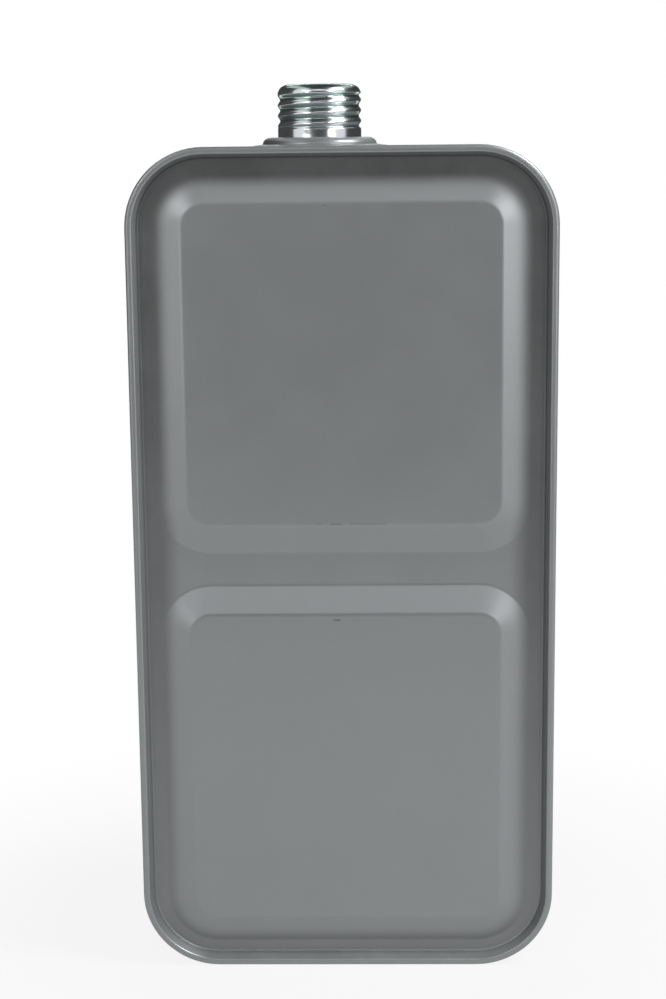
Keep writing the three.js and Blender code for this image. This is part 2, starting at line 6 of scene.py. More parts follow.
import bmesh
import bpy
from bpy.props import FloatProperty, FloatVectorProperty, PointerProperty
from mathutils import Matrix, Vector
from mathutils.geometry import tessellate_polygon


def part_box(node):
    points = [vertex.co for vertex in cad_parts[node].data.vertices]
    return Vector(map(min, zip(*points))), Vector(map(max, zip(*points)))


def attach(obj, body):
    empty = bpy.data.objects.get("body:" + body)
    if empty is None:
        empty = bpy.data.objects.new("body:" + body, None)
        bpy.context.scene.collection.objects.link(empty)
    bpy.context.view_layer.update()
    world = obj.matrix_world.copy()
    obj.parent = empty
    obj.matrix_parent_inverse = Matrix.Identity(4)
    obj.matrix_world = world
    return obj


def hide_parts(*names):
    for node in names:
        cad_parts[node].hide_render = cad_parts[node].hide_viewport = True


bl_info = {
    "name": "Portable fuel tank",
    "version": (1, 0, 0),
    "blender": (4, 5, 0),
    "location": "View3D > Sidebar > Fuel tank",
    "description": "Builds the looks of a pressed-steel fuel tank around its packed model",
    "category": "Object",
}

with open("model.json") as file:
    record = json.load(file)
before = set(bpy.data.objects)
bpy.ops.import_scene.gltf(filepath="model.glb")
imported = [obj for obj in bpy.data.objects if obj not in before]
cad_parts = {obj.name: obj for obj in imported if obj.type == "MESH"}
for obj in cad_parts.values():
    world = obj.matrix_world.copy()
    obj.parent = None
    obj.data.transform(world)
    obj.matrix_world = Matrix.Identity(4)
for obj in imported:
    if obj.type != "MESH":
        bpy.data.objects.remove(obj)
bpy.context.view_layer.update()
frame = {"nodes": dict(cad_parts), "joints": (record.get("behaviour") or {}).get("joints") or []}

PLATE_LOW, PLATE_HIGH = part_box("front_panel")
NECK_LOW, NECK_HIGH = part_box("filler_neck")
COLLAR_LOW, COLLAR_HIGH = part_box("neck_collar")
GRIP_LOW, GRIP_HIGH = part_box("handle_grip")
BAIL_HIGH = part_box("handle_bail")[1]
LUG_LOW, LUG_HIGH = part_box("handle_lug_right")
LENS_LOW, LENS_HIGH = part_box("gauge_lens")
BEZEL_LOW, BEZEL_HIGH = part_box("gauge_bezel")
JOINTS = {joint["name"]: joint for joint in frame["joints"]}
HANDLE_PIVOT = Vector(JOINTS["handle_fold"]["pos_m"])
FLOAT_PIVOT = Vector(JOINTS["float_swing"]["pos_m"])
MM = 0.001
CLEAR = 0.3 * MM  # round pieces that turn or slip into each other
HOOK_END = 2.5 * MM  # end of the plate's hook in the fold, behind the crest
BAND_END = 2.6 * MM  # edge of the band, behind the crest
WELD_SPOTS, WELD_PITCH = 11, 5.6 * MM

# Steps of the fine curves
CORNER_STEPS = 18
TURN_STEPS = 96
THREAD_STEPS = 144
THREAD_ROWS_PER_TURN = 30
SMOOTH_ANGLE = math.radians(32)
BEVEL_ANGLE = math.radians(40)


def measured(name, text, metres, low=0.0):
    return FloatProperty(name=name, description=text, default=metres, min=low,
                         unit="LENGTH", subtype="DISTANCE", precision=5)


def length(name, text, millimetres):
    return measured(name, text, millimetres * MM)


def angle(name, text, degrees):
    return FloatProperty(name=name, description=text, default=math.radians(degrees),
                         subtype="ANGLE", unit="ROTATION")


def number(name, text, default, unit="NONE"):
    return FloatProperty(name=name, description=text, default=default, min=0.0, unit=unit)


def tint(name, text, *default):
    return FloatVectorProperty(name=name, description=text, default=default, size=3,
                               min=0.0, max=1.0, subtype="COLOR")


class ShellSizes(bpy.types.PropertyGroup):
    """Sheet, double seams and end plates"""
    width: measured("Width", "Over the seams", PLATE_HIGH.x - PLATE_LOW.x)
    height: measured("Height", "Over the seams, without the neck", PLATE_HIGH.z - PLATE_LOW.z)
    depth: length("Depth", "From crest to crest of the two seams", 80)
    corner: length("Corner", "Radius of the outer edge of the seams", 35)
    sheet: length("Sheet", "Thickness of all pressed sheet", 0.6)
    fold_gap: length("Fold gap", "Between two layers of the fold", 0.25)
    seam_long: length("Seam length", "From the crest to the end of the fold", 5.65)
    roll: length("Crest roll", "Width of the crest's outer rounding", 1.5)
    roll_high: length("Crest roll height", "Height of the crest's outer rounding", 1.3)
    crest: length("Crest", "From the outer edge to the line where crest and sunk wall meet", 2.95)
    shoulder: length("Shoulder", "Radius from the crest to the sunk wall", 1.1)
    sink: length("Sink", "Field below the crest", 5.8)
    wall_lean: length("Wall lean", "Sunk wall, out of square", 2.05)
    wall_foot: length("Wall foot", "Fillet between the sunk wall and the field", 1.2)
    panel_inset: length("Panel inset", "From the sides and the top to a panel's flat", 24.4)
    panel_inset_low: length("Low panel inset", "From the bottom to the lower flat", 23.1)
    panel_slope: length("Panel slope", "Width of the slope round the flat", 12.8)
    panel_rise: length("Panel rise", "Height of a raised panel", 4)
    panel_corner: length("Panel corner", "Corner radius of the flat", 10)
    web: length("Web", "Between the two flats", 41)
    web_z: length("Web height", "Middle of the web", 189)
    slope_foot: length("Slope foot", "Concave radius at the foot of a slope", 5)
    slope_edge: length("Slope edge", "Convex radius along the flat", 7)
    lap_z: length("Lap height", "Lower edge of the band's lap joint", 150)
    lap_wide: length("Lap width", "Width of the band's lap joint", 6)


class NeckSizes(bpy.types.PropertyGroup):
    """Drawn step, collar and threaded neck"""
    x: measured("Neck place", "Axis of the neck along the width", (NECK_LOW.x + NECK_HIGH.x) / 2, -1.0)
    step_rise: length("Step rise", "Drawn step above the top wall", 3.25)
    step_fall: length("Step fall", "Fall of the step from the collar to its edge", 0.7)
    step_foot: length("Step foot", "Radius of the step's foot", 33.45)
    step_edge: length("Step edge", "Radius of the step's edge", 30.95)
    radius: length("Neck radius", "Plain part of the neck", 18.8)
    bore: length("Neck bore", "Radius of the bore", 16.6)
    flange: length("Flange", "Radius of the clamped flange", 21.6)
    collar: length("Collar", "Radius of the collar's foot", 25.8)
    collar_side: length("Collar side", "Width of the collar's domed side", 3.9)
    pitch: length("Thread pitch", "Pitch of the rolled thread", 4.6)
    thread_deep: length("Thread depth", "Crest to root", 1.05)
    thread_start: length("Thread start", "Above the bottom of the flange", 4.9)
    thread_turns: number("Thread turns", "Turns of the thread", 3.6)
    thread_phase: angle("Thread phase", "From +X to the first crest", 296)
    lip_in: length("Lip step", "Curl of the mouth inside the thread's crest", 0.35)
    lip_high: length("Lip height", "Curl of the mouth", 3.4)
    lip_flat: length("Lip flat", "Flat ring on top of the curl", 1.0)
    mouth: length("Mouth", "Radius of the mouth", 12.5)


class HandleSizes(bpy.types.PropertyGroup):
    """Pocket, lugs, wire bail and grip"""
    pocket_x: length("Pocket length", "Along the width of the tank", 134)
    pocket_y: length("Pocket width", "Along the depth of the tank", 46)
    pocket_corner: length("Pocket corner", "Corner radius of the pocket", 7)
    pocket_deep: length("Pocket depth", "Below the bottom wall", 9.5)
    wire: length("Wire", "Radius of the wire", 2.5)
    bend: length("Wire bend", "Bend radius at the middle of the wire", 6)
    wide: length("Bail width", "Between the middles of the legs", 92)
    reach: length("Bail reach", "Pivot to grip", 28)
    grip_long: measured("Grip length", "Length of the plastic sleeve", GRIP_HIGH.x - GRIP_LOW.x)
    grip: length("Grip radius", "Radius of the plastic sleeve", 4.5)
    lug_x: length("Lug place", "Middle of the ear from the middle of the tank", 56)
    lug_thick: length("Lug sheet", "Thickness of the lug", 1.5)
    lug_foot: length("Lug foot", "Length of the welded foot", 8)


class GaugeSizes(bpy.types.PropertyGroup):
    """Window, bezel, float and pointer"""
    hole: length("Window", "Radius of the window", 15)
    seat_deep: length("Seat depth", "Below the side wall", 2.6)
    seat: length("Seat radius", "Radius of the seat", 21.6)
    lens: measured("Lens radius", "Radius of the lens", (LENS_HIGH.z - LENS_LOW.z) / 2)
    bezel: measured("Bezel radius", "Radius of the bezel", (BEZEL_HIGH.z - BEZEL_LOW.z) / 2)
    bezel_wall: length("Bezel wall", "Thickness of the bezel's skirt", 0.8)
    arm_reach: length("Arm reach", "Pivot to the middle of the float", 42)
    float_radius: length("Float radius", "Radius of the float", 10)
    float_long: length("Float length", "Length of the float", 26)
    pointer_reach: length("Pointer reach", "Pivot to the back of the target", 17.3)
    pointer_wide: length("Pointer width", "Width of the target", 12)
    pointer_high: length("Pointer height", "Height of the target", 8)
    pointer_thick: length("Pointer sheet", "Thickness of the target", 1.2)
    rest_angle: angle("Rest angle", "Arm below level on its lower stop", 25)


class FinishColours(bpy.types.PropertyGroup):
    """Base colours of the finishes"""
    paint: tint("Paint", "Satin grey paint", 0.268, 0.28, 0.287)
    # Painted shade: the dark colour laid into the channels inside the seams.
    grime: tint("Grime", "Grime in the channels", 0.052, 0.053, 0.053)
    chip: tint("Paint chip", "Dark primer where the paint is chipped", 0.035, 0.034, 0.033)
    film: tint("Film", "Thicker zinc film in the roots of the thread", 0.3, 0.42, 0.38)
    zinc: tint("Zinc", "Bright zinc plate", 0.66, 0.685, 0.7)
    rubber: tint("Rubber", "Seals and sealing compound", 0.012, 0.012, 0.012)
    grip: tint("Grip", "Black moulded plastic", 0.02, 0.021, 0.023)
    lens: tint("Lens", "Clear plastic", 0.93, 0.96, 0.96)
    foam: tint("Float", "Closed-cell foam", 0.67, 0.61, 0.45)
    pointer: tint("Pointer", "Red plastic", 0.43, 0.023, 0.014)
    floor: tint("Floor", "Pale studio floor", 0.5, 0.5, 0.5)


class StageSettings(bpy.types.PropertyGroup):
    """Camera and lamps"""
    camera: FloatVectorProperty(name="Camera", description="Place of the camera", size=3, unit="LENGTH",
                                default=(0.013, -0.875, 0.37762), subtype="TRANSLATION")
    pitch: angle("Pitch", "Camera looks down by this angle", 10.563)
    yaw: angle("Yaw", "Camera looks to the right by this angle", -1.2269)
    roll: angle("Roll", "Camera turned about its own axis", -0.5751)
    focal: number("Focal length", "On a sensor 36 mm high", 68.5, "CAMERA")
    right: number("Right lamp", "High at the right side", 14.8, "POWER")
    left_front: number("Left front lamp", "Left of the camera, above the tank", 1.5, "POWER")
    right_front: number("Right front lamp", "Right of the camera, above the tank", 1.7, "POWER")
    left_low: number("Left low lamp", "Left of the camera, below the tank's top", 0.9, "POWER")
    right_low: number("Right low lamp", "Right of the camera, below the tank's top", 1.08, "POWER")
    front: number("Front lamp", "Above the camera", 1.16, "POWER")
    high_front: number("High front lamp", "High above the camera", 0.66, "POWER")
    rear: number("Rear lamp", "Behind the tank", 12.0, "POWER")


# Lines and outlines

def arc(x, y, rx, ry, start, end, steps):
    """Points of an arc, angles in degrees."""
    turns = [math.radians(start + (end - start) * i / steps) for i in range(steps + 1)]
    return [(x + rx * math.cos(turn), y + ry * math.sin(turn)) for turn in turns]


def rounded(path, radii, steps):
    """The open path with its inner corners rounded, one radius for each corner."""
    points = [Vector(point) for point in path]
    result = [points[0]]
    for before, corner, after, radius in zip(points, points[1:], points[2:], radii):
        a = (before - corner).normalized()
        b = (after - corner).normalized()
        half = a.angle(b) / 2
        if radius <= 0 or half > math.pi / 2 - 1e-4:
            result.append(corner)
            continue
        centre = corner + (a + b).normalized() * (radius / math.sin(half))
        reach = radius / math.tan(half)
        first = corner + a * reach - centre
        last = corner + b * reach - centre
        turn = first.angle_signed(last)
        for i in range(steps + 1):
            part = turn * i / steps
            spun = Vector((first.x * math.cos(part) + first.y * math.sin(part),
                           first.y * math.cos(part) - first.x * math.sin(part)))
            result.append(centre + spun)
    result.append(points[-1])
    return [(point.x, point.y) for point in result]


def offset(path, distance):
    """The path moved to the right of its direction, with mitred corners."""
    normals = []
    for (ax, ay), (bx, by) in zip(path, path[1:]):
        size = math.hypot(bx - ax, by - ay)
        normals.append(((by - ay) / size, (ax - bx) / size))
    result = []
    for i, (x, y) in enumerate(path):
        ax, ay = normals[max(i - 1, 0)]
        bx, by = normals[min(i, len(normals) - 1)]
        k = distance / (1 + ax * bx + ay * by)
        result.append((x + k * (ax + bx), y + k * (ay + by)))
    return result


def rounded_box(half_x, half_y, radius, steps=CORNER_STEPS):
    """A rounded rectangle about the origin, anticlockwise from the right."""
    x, y = half_x - radius, half_y - radius
    corners = ((x, y, 0), (-x, y, 90), (-x, -y, 180), (x, -y, 270))
    return [point for cx, cy, start in corners
            for point in arc(cx, cy, radius, radius, start, start + 90, steps)]


def circle(radius, steps=TURN_STEPS):
    turns = [2 * math.pi * i / steps for i in range(steps)]
    return [(radius * math.cos(turn), radius * math.sin(turn)) for turn in turns]


def boxes(half_x, half_y, radius, path, place_at, steps=CORNER_STEPS):
    """Rings of points: a rounded rectangle grown and lifted along a path of (growth, height)."""
    return [[place_at(x, y, height)
             for x, y in rounded_box(half_x + grow, half_y + grow, radius + grow, steps)]
            for grow, height in path]


def circles(path, place_at, steps=TURN_STEPS):
    """Rings of points: circles along a path of (radius, height)."""
    return [[place_at(x, y, height) for x, y in circle(radius, steps)] for radius, height in path]


# Surfaces

class Shell:
    """A closed surface put together from loops of points."""

    def __init__(self):
        self.points = []
        self.faces = []

    def loop(self, points):
        first = len(self.points)
        self.points.extend(tuple(point) for point in points)
        return list(range(first, len(self.points)))

    def bridge(self, a, b, skip=()):
        for i, start in enumerate(a):
            if i not in skip:
                j = (i + 1) % len(a)
                self.faces.append((start, a[j], b[j], b[i]))

    def skin(self, rings):
        """A surface through rings of points. Returns its loops."""
        loops = [self.loop(ring) for ring in rings]
        for a, b in zip(loops, loops[1:]):
            self.bridge(a, b)
        return loops

    def field(self, outline, *holes):
        """A flat field inside an outline and outside the holes."""
        loops = [outline, *holes]
        flat = [index for loop in loops for index in loop]
        lines = [[Vector(self.points[i]) / MM for i in loop] for loop in loops]
        for face in tessellate_polygon(lines):
            self.faces.append(tuple(flat[i] for i in face))

    def mesh(self, name, change=None):
        data = bpy.data.meshes.new(name)
        data.from_pydata(self.points, [], self.faces)
        if change:
            data.transform(change)
        clean(data)
        return data


def solid(rings):
    """A surface through rings of points, with both ends filled."""
    builder = Shell()
    loops = builder.skin(rings)
    builder.field(loops[0])
    builder.field(loops[-1])
    return builder


def turned(profile, axis, steps=TURN_STEPS):
    """A closed profile of (radius, height) points turned about an axis."""
    builder = Shell()
    loops = []
    for radius, height in profile:
        ring = circle(radius, steps) if radius else [(0, 0)]
        loops.append(builder.loop([axis(x, y, height) for x, y in ring]))
    for a, b in zip(loops, loops[1:] + loops[:1]):
        if len(a) > 1 and len(b) > 1:
            builder.bridge(a, b)
        elif len(a) > 1 or len(b) > 1:
            (tip,), ring = sorted((a, b), key=len)
            builder.faces.extend((tip, start, ring[(i + 1) % len(ring)]) for i, start in enumerate(ring))
    return builder


def sideways(x, y, height):
    """An axis along X for turned shapes."""
    return (height, x, y)


def clean(data):
    """Joined points, faces pointing out, smooth shading with sharp edges kept."""
    work = bmesh.new()
    work.from_mesh(data)
    bmesh.ops.remove_doubles(work, verts=work.verts, dist=2e-6)
    bmesh.ops.recalc_face_normals(work, faces=work.faces)
    for face in work.faces:
        face.smooth = True
    for edge in work.edges:
        edge.smooth = not edge.is_manifold or edge.calc_face_angle() < SMOOTH_ANGLE
    if any(not edge.is_manifold for edge in work.edges):
        raise RuntimeError(f"{data.name} is not closed")
    work.to_mesh(data)
    work.free()


def combined(data, *steps, bevel=0.0):
    """A closed mesh after boolean steps with other closed meshes, its edges bevelled last."""
    parts = [bpy.data.objects.new(mesh.name, mesh) for mesh in (data, *(other for _, other in steps))]
    for part in parts:
        bpy.context.scene.collection.objects.link(part)
    for (operation, _), other in zip(steps, parts[1:]):
        step = parts[0].modifiers.new(operation, "BOOLEAN")
        step.operation, step.solver, step.object = operation, "EXACT", other
    if bevel:
        edge = parts[0].modifiers.new("edges", "BEVEL")
        edge.width, edge.segments, edge.use_clamp_overlap = bevel, 2, True
        edge.limit_method, edge.angle_limit = "ANGLE", BEVEL_ANGLE
    view = bpy.context.evaluated_depsgraph_get()
    data = bpy.data.meshes.new_from_object(parts[0].evaluated_get(view))
    for part in parts:
        bpy.data.objects.remove(part)
    clean(data)
    return data


def add_piece(name, shape, look, body, node, change=None):
    """A piece that rides on a body and stands for one packed node."""
    data = shape.mesh(name, change) if isinstance(shape, Shell) else shape
    piece = bpy.data.objects.new(name, data)
    bpy.context.scene.collection.objects.link(piece)
    data.materials.append(finish(look))
    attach(piece, body)
    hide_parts(node)


def dress(look, *nodes):
    """Packed solids keep their shape and get a finish."""
    for node in nodes:
        slots = frame["nodes"][node].data.materials
        slots.clear()
        slots.append(finish(look))


# Finishes

class Nodes:
    """A shader tree with short ways to add nodes. Most of them return an output socket."""

    def __init__(self, tree):
        self.tree = tree

    def fill(self, node, sockets):
        for key, value in sockets.items():
            if isinstance(value, bpy.types.NodeSocket):
                self.tree.links.new(value, node.inputs[key])
            else:
                node.inputs[key].default_value = value

    def add(self, kind, sockets=None, **settings):
        made = self.tree.nodes.new("ShaderNode" + kind)
        for key, value in settings.items():
            setattr(made, key, value)
        self.fill(made, sockets or {})
        return made

    def use(self, effect_name, **values):
        return self.add("Group", values, node_tree=bpy.data.node_groups[effect_name]).outputs

    def where(self):
        return self.add("TexCoord").outputs["Object"]

    def parts(self, vector):
        return self.add("SeparateXYZ", {0: vector}).outputs

    def calc(self, operation, a, b=0.0, clamp=False):
        return self.add("Math", {0: a, 1: b}, operation=operation, use_clamp=clamp).outputs[0]

    def times(self, a, b):
        return self.calc("MULTIPLY", a, b)

    def plus(self, a, b):
        return self.calc("ADD", a, b)

    def minus(self, a, b):
        return self.calc("SUBTRACT", a, b)

    def vector(self, operation, a, b=(0, 0, 0), output=0):
        return self.add("VectorMath", {0: a, 1: b}, operation=operation).outputs[output]

    def blend(self, factor, a, b, how="MIX"):
        return self.add("Mix", {0: factor, 6: a, 7: b}, data_type="RGBA", blend_type=how).outputs[2]

    def span(self, value, low, high, to_low=0.0, to_high=1.0):
        sockets = {"Value": value, "From Min": low, "From Max": high, "To Min": to_low, "To Max": to_high}
        return self.add("MapRange", sockets, interpolation_type="SMOOTHSTEP").outputs[0]

    def noise(self, vector, scale, detail=3.0, roughness=0.5):
        sockets = {"Vector": vector, "Scale": scale, "Detail": detail, "Roughness": roughness}
        return self.add("TexNoise", sockets).outputs[0]

    def bump(self, height, strength, distance):
        sockets = {"Height": height, "Strength": strength, "Distance": distance}
        return self.add("Bump", sockets).outputs[0]


def effect(name, inputs, *outputs):
    """An empty shader node group with its inputs' defaults. Its outputs are values."""
    tree = bpy.data.node_groups.new(name, "ShaderNodeTree")
    for label, default in inputs.items():
        kind = "NodeSocketVector" if isinstance(default, tuple) else "NodeSocketFloat"
        tree.interface.new_socket(label, in_out="INPUT", socket_type=kind).default_value = default
    for label in outputs:
        tree.interface.new_socket(label, in_out="OUTPUT", socket_type="NodeSocketFloat")
    return Nodes(tree), tree.nodes.new("NodeGroupInput").outputs, tree.nodes.new("NodeGroupOutput")


def surface_grain():
    """Fine grain for bump and broad patches for colour."""
    n, given, result = effect("surface_grain", {"Grain": 900.0, "Patch": 30.0}, "Height", "Patches")
    where = n.where()
    fine = n.noise(where, given["Grain"], 2.0, 0.55)
    broad = n.noise(where, given["Patch"], 4.0, 0.6)
    n.fill(result, {"Height": fine, "Patches": n.span(broad, 0.3, 0.7)})


def edge_wear():
    """Masks of rubbed and chipped outer edges."""
    n, given, result = effect("edge_wear", {"Amount": 1.0, "Break": 160.0}, "Rub", "Chip")
    where = n.where()
    edge = n.span(n.add("NewGeometry").outputs["Pointiness"], 0.515, 0.6)
    speck = n.span(n.noise(where, given["Break"], 4.0, 0.65), 0.6, 0.72)
    rub = n.times(edge, given["Amount"])
    n.fill(result, {"Rub": rub, "Chip": n.times(rub, speck)})


def dust_film():
    """Mask of thin dust on surfaces that face up."""
    n, given, result = effect("dust_film", {"Amount": 1.0}, "Dust")
    where = n.where()
    up = n.parts(n.add("NewGeometry").outputs["Normal"])["Z"]
    cloud = n.span(n.noise(where, 70.0, 5.0, 0.65), 0.35, 0.75)
    n.fill(result, {"Dust": n.times(n.times(n.span(up, 0.2, 1.0), cloud), given["Amount"])})


def channel_grime():
    """Mask of painted shade in the channel inside the seams, stronger towards the top where the neck is."""
    n, given, result = effect("channel_grime", {"Half": (0.1, 0.1, 0.1), "Corner": 0.03, "Sink": 0.005},
                              "Grime")
    where = n.where()
    middle = n.add("CombineXYZ", {"Z": n.parts(given["Half"])["Z"]}).outputs[0]
    edge = n.parts(n.vector("SUBTRACT", given["Half"],
                            n.vector("ABSOLUTE", n.vector("SUBTRACT", where, middle))))
    side = n.minus(given["Corner"], edge["X"])
    end = n.minus(given["Corner"], edge["Z"])
    round_x, round_z = (n.calc("POWER", n.calc("MAXIMUM", way, 0.0), 2.0) for way in (side, end))
    corner = n.calc("SQRT", n.plus(round_x, round_z))
    straight = n.calc("MINIMUM", n.calc("MAXIMUM", side, end), 0.0)
    inside = n.minus(given["Corner"], n.plus(corner, straight))
    behind = n.calc("DIVIDE", edge["Y"], given["Sink"])
    deep = n.times(n.span(behind, 0.5, 0.97), n.span(behind, 1.6, 1.3))
    near = n.times(n.span(inside, 0.022, 0.011), n.span(inside, 0.0028, 0.0034))
    cloud = n.span(n.noise(where, 45.0, 4.0, 0.6), 0.3, 0.7, 0.9, 1.0)
    # The painted shade grows towards the top of the tank.
    amount = n.times(n.span(n.parts(where)["Z"], -0.05, 0.42, 0.3, 1.0), cloud)
    n.fill(result, {"Grime": n.times(n.times(deep, near), amount)})


def scuff_line():
    """Mask of one scuff from a start to an end point, with a ragged outline."""
    n, given, result = effect("scuff_line", {"Start": (0, 0, 0), "End": (0, 0, 0), "Width": 0.001}, "Mask")
    where = n.where()
    along = n.vector("SUBTRACT", given["End"], given["Start"])
    here = n.vector("SUBTRACT", where, given["Start"])
    reach = n.vector("DOT_PRODUCT", along, along, "Value")
    share = n.calc("DIVIDE", n.vector("DOT_PRODUCT", here, along, "Value"), reach, True)
    nearest = n.add("VectorMath", {0: along, "Scale": share}, operation="SCALE").outputs[0]
    far = n.vector("LENGTH", n.vector("SUBTRACT", here, nearest), output="Value")
    ragged = n.times(n.noise(where, 500.0, 3.0, 0.7), given["Width"])
    n.fill(result, {"Mask": n.span(n.calc("DIVIDE", n.plus(far, ragged), given["Width"]), 1.25, 0.75)})


def blank(name):
    made = bpy.data.materials.new(name)
    made.use_nodes = True
    return made, Nodes(made.node_tree), made.node_tree.nodes["Principled BSDF"]


def rgba(colour, level=1.0):
    return (colour[0] * level, colour[1] * level, colour[2] * level, 1.0)


# Small scuffs on the front plate: start and end in (x, z) millimetres, half width and strength.
FRONT_SCUFFS = (
    ((-5.0, 165.9), (-2.3, 165.9), 0.6, 0.75),
    ((2.5, 165.9), (18.0, 165.8), 0.35, 0.15),
    ((-12.6, 210.3), (-10.2, 210.3), 0.35, 0.3),
    ((-6.2, 210.2), (-1.4, 210.2), 0.45, 0.55),
    ((2.6, 210.2), (18.3, 210.2), 0.35, 0.4),
    ((-7.4, 351.8), (-6.8, 351.8), 0.45, 0.5),
)
SCUFF_BEHIND = 1.8 * MM  # a panel's flat below the crest
PAINT_DUST = rgba((0.42, 0.41, 0.39))
PLASTIC_DUST = rgba((0.3, 0.29, 0.27))


def satin_paint(n, shader, colours):
    grain = n.use("surface_grain", Grain=1500.0, Patch=26.0)
    wear = n.use("edge_wear", Amount=1.0, Break=190.0)
    dust = n.use("dust_film", Amount=0.35)["Dust"]
    shell = bpy.context.scene.tank_shell
    half = (shell.width / 2, shell.depth / 2, shell.height / 2)
    grime = n.use("channel_grime", Half=half, Corner=shell.corner, Sink=shell.sink)["Grime"]
    colour = n.blend(grain["Patches"], rgba(colours.paint, 0.985), rgba(colours.paint, 1.015))
    colour = n.blend(n.times(wear["Rub"], 0.12), colour, rgba(colours.paint, 1.5))
    # Painted shade: the channels inside the seams are darkened, more so towards the top. The same mask also
    # makes them rougher.
    colour = n.blend(n.times(grime, 0.9), colour, rgba(colours.grime))
    chips = n.times(wear["Chip"], 0.25)
    y = -shell.depth / 2 + SCUFF_BEHIND
    for (x0, z0), (x1, z1), wide, strength in FRONT_SCUFFS:
        mark = n.use("scuff_line", Start=(x0 * MM, y, z0 * MM), End=(x1 * MM, y, z1 * MM), Width=wide * MM)
        chips = n.calc("MAXIMUM", chips, n.times(mark["Mask"], strength))
    colour = n.blend(n.times(chips, 0.8), colour, rgba(colours.chip))
    colour = n.blend(n.times(dust, 0.3), colour, PAINT_DUST)
    sheen = n.span(grain["Patches"], 0.0, 1.0, 0.33, 0.35)
    sheen = n.plus(sheen, n.times(dust, 0.25))
    sheen = n.plus(sheen, n.times(grime, 0.2))
    n.fill(shader, {"Base Color": colour, "Roughness": sheen, "Metallic": 0.5,
                    "Normal": n.bump(grain["Height"], 0.08, 0.0002)})


def bright_zinc(n, shader, colours):
    grain = n.use("surface_grain", Grain=2400.0, Patch=85.0)
    wear = n.use("edge_wear", Amount=0.8, Break=260.0)
    dust = n.use("dust_film", Amount=0.3)["Dust"]
    where = n.where()
    ramp = n.add("ValToRGB", {0: n.noise(where, 55.0, 3.0, 0.6)})
    stops = ramp.color_ramp.elements
    stops[0].position, stops[0].color = 0.3, rgba((0.84, 1.05, 0.98))
    stops[1].position, stops[1].color = 0.72, rgba((0.98, 0.93, 1.08))
    stops.new(0.5).color = rgba((1.0, 1.0, 1.0))
    base = n.blend(grain["Patches"], rgba(colours.zinc, 0.97), rgba(colours.zinc, 1.03))
    colour = n.blend(1.0, base, ramp.outputs[0], "MULTIPLY")
    neck = bpy.context.scene.tank_neck
    across = n.add("Mapping", {"Vector": where, "Location": (-neck.x, 0, 0), "Scale": (1, 1, 0)})
    radius = n.vector("LENGTH", across.outputs[0], output="Value")
    root = n.span(radius, neck.radius - 0.35 * MM, neck.radius - 0.9 * MM)
    colour = n.blend(n.times(root, 0.8), colour, rgba(colours.film))
    colour = n.blend(n.times(wear["Chip"], 0.2), colour, rgba(colours.zinc, 0.6))
    stretched = n.add("Mapping", {"Vector": where, "Scale": (40.0, 40.0, 2600.0)})
    height = n.plus(grain["Height"], n.noise(stretched.outputs[0], 1.0, 2.0, 0.5))
    sheen = n.span(grain["Patches"], 0.0, 1.0, 0.165, 0.195)
    sheen = n.plus(sheen, n.times(dust, 0.25))
    n.fill(shader, {"Base Color": colour, "Roughness": sheen, "Metallic": 1.0,
                    "Normal": n.bump(height, 0.025, 0.0001)})


def moulded(n, shader, colours, colour_name, roughness, grain_scale, strength, wear_amount):
    """Plastic or rubber with a moulded grain and rubbed edges."""
    colour = getattr(colours, colour_name)
    grain = n.use("surface_grain", Grain=grain_scale, Patch=60.0)
    wear = n.use("edge_wear", Amount=wear_amount, Break=220.0)
    dust = n.use("dust_film", Amount=0.4)["Dust"]
    shade = n.blend(grain["Patches"], rgba(colour, 0.85), rgba(colour, 1.15))
    shade = n.blend(n.times(wear["Rub"], 0.35), shade, rgba(colour, 2.2))
    shade = n.blend(n.times(dust, 0.25), shade, PLASTIC_DUST)
    sheen = n.span(grain["Patches"], 0.0, 1.0, roughness - 0.05, roughness + 0.05)
    n.fill(shader, {"Base Color": shade, "Roughness": sheen, "Metallic": 0.0,
                    "Normal": n.bump(grain["Height"], strength, 0.0003)})


def cut_foam(n, shader, colours):
    grain = n.use("surface_grain", Grain=1200.0, Patch=120.0)
    cells = n.add("TexVoronoi", {"Vector": n.where(), "Scale": 1100.0})
    pits = n.span(cells.outputs["Distance"], 0.1, 0.6)
    shade = n.blend(grain["Patches"], rgba(colours.foam, 0.82), rgba(colours.foam, 1.08))
    shade = n.blend(n.times(pits, 0.35), shade, rgba(colours.foam, 0.5))
    n.fill(shader, {"Base Color": shade, "Roughness": n.span(pits, 0.0, 1.0, 0.75, 0.95), "Metallic": 0.0,
                    "Normal": n.bump(pits, 0.4, 0.0004)})


def clear_lens(n, shader, colours):
    grain = n.use("surface_grain", Grain=700.0, Patch=140.0)
    dust = n.use("dust_film", Amount=0.5)["Dust"]
    shade = n.blend(grain["Patches"], rgba(colours.lens, 0.97), rgba(colours.lens, 1.0))
    sheen = n.span(grain["Patches"], 0.0, 1.0, 0.02, 0.07)
    sheen = n.plus(sheen, n.times(dust, 0.2))
    n.fill(shader, {"Base Color": shade, "Roughness": sheen, "Metallic": 0.0, "IOR": 1.49,
                    "Transmission Weight": 1.0, "Normal": n.bump(grain["Height"], 0.02, 0.0002)})


EFFECTS = (surface_grain, edge_wear, dust_film, channel_grime, scuff_line)
FINISHES = {
    "satin_paint": (satin_paint,),
    "bright_zinc": (bright_zinc,),
    "cut_foam": (cut_foam,),
    "clear_lens": (clear_lens,),
    "soft_rubber": (moulded, "rubber", 0.75, 1800.0, 0.25, 0.4),
    "black_grip": (moulded, "grip", 0.48, 2200.0, 0.3, 0.8),
    "red_pointer": (moulded, "pointer", 0.36, 1600.0, 0.08, 0.3),
}


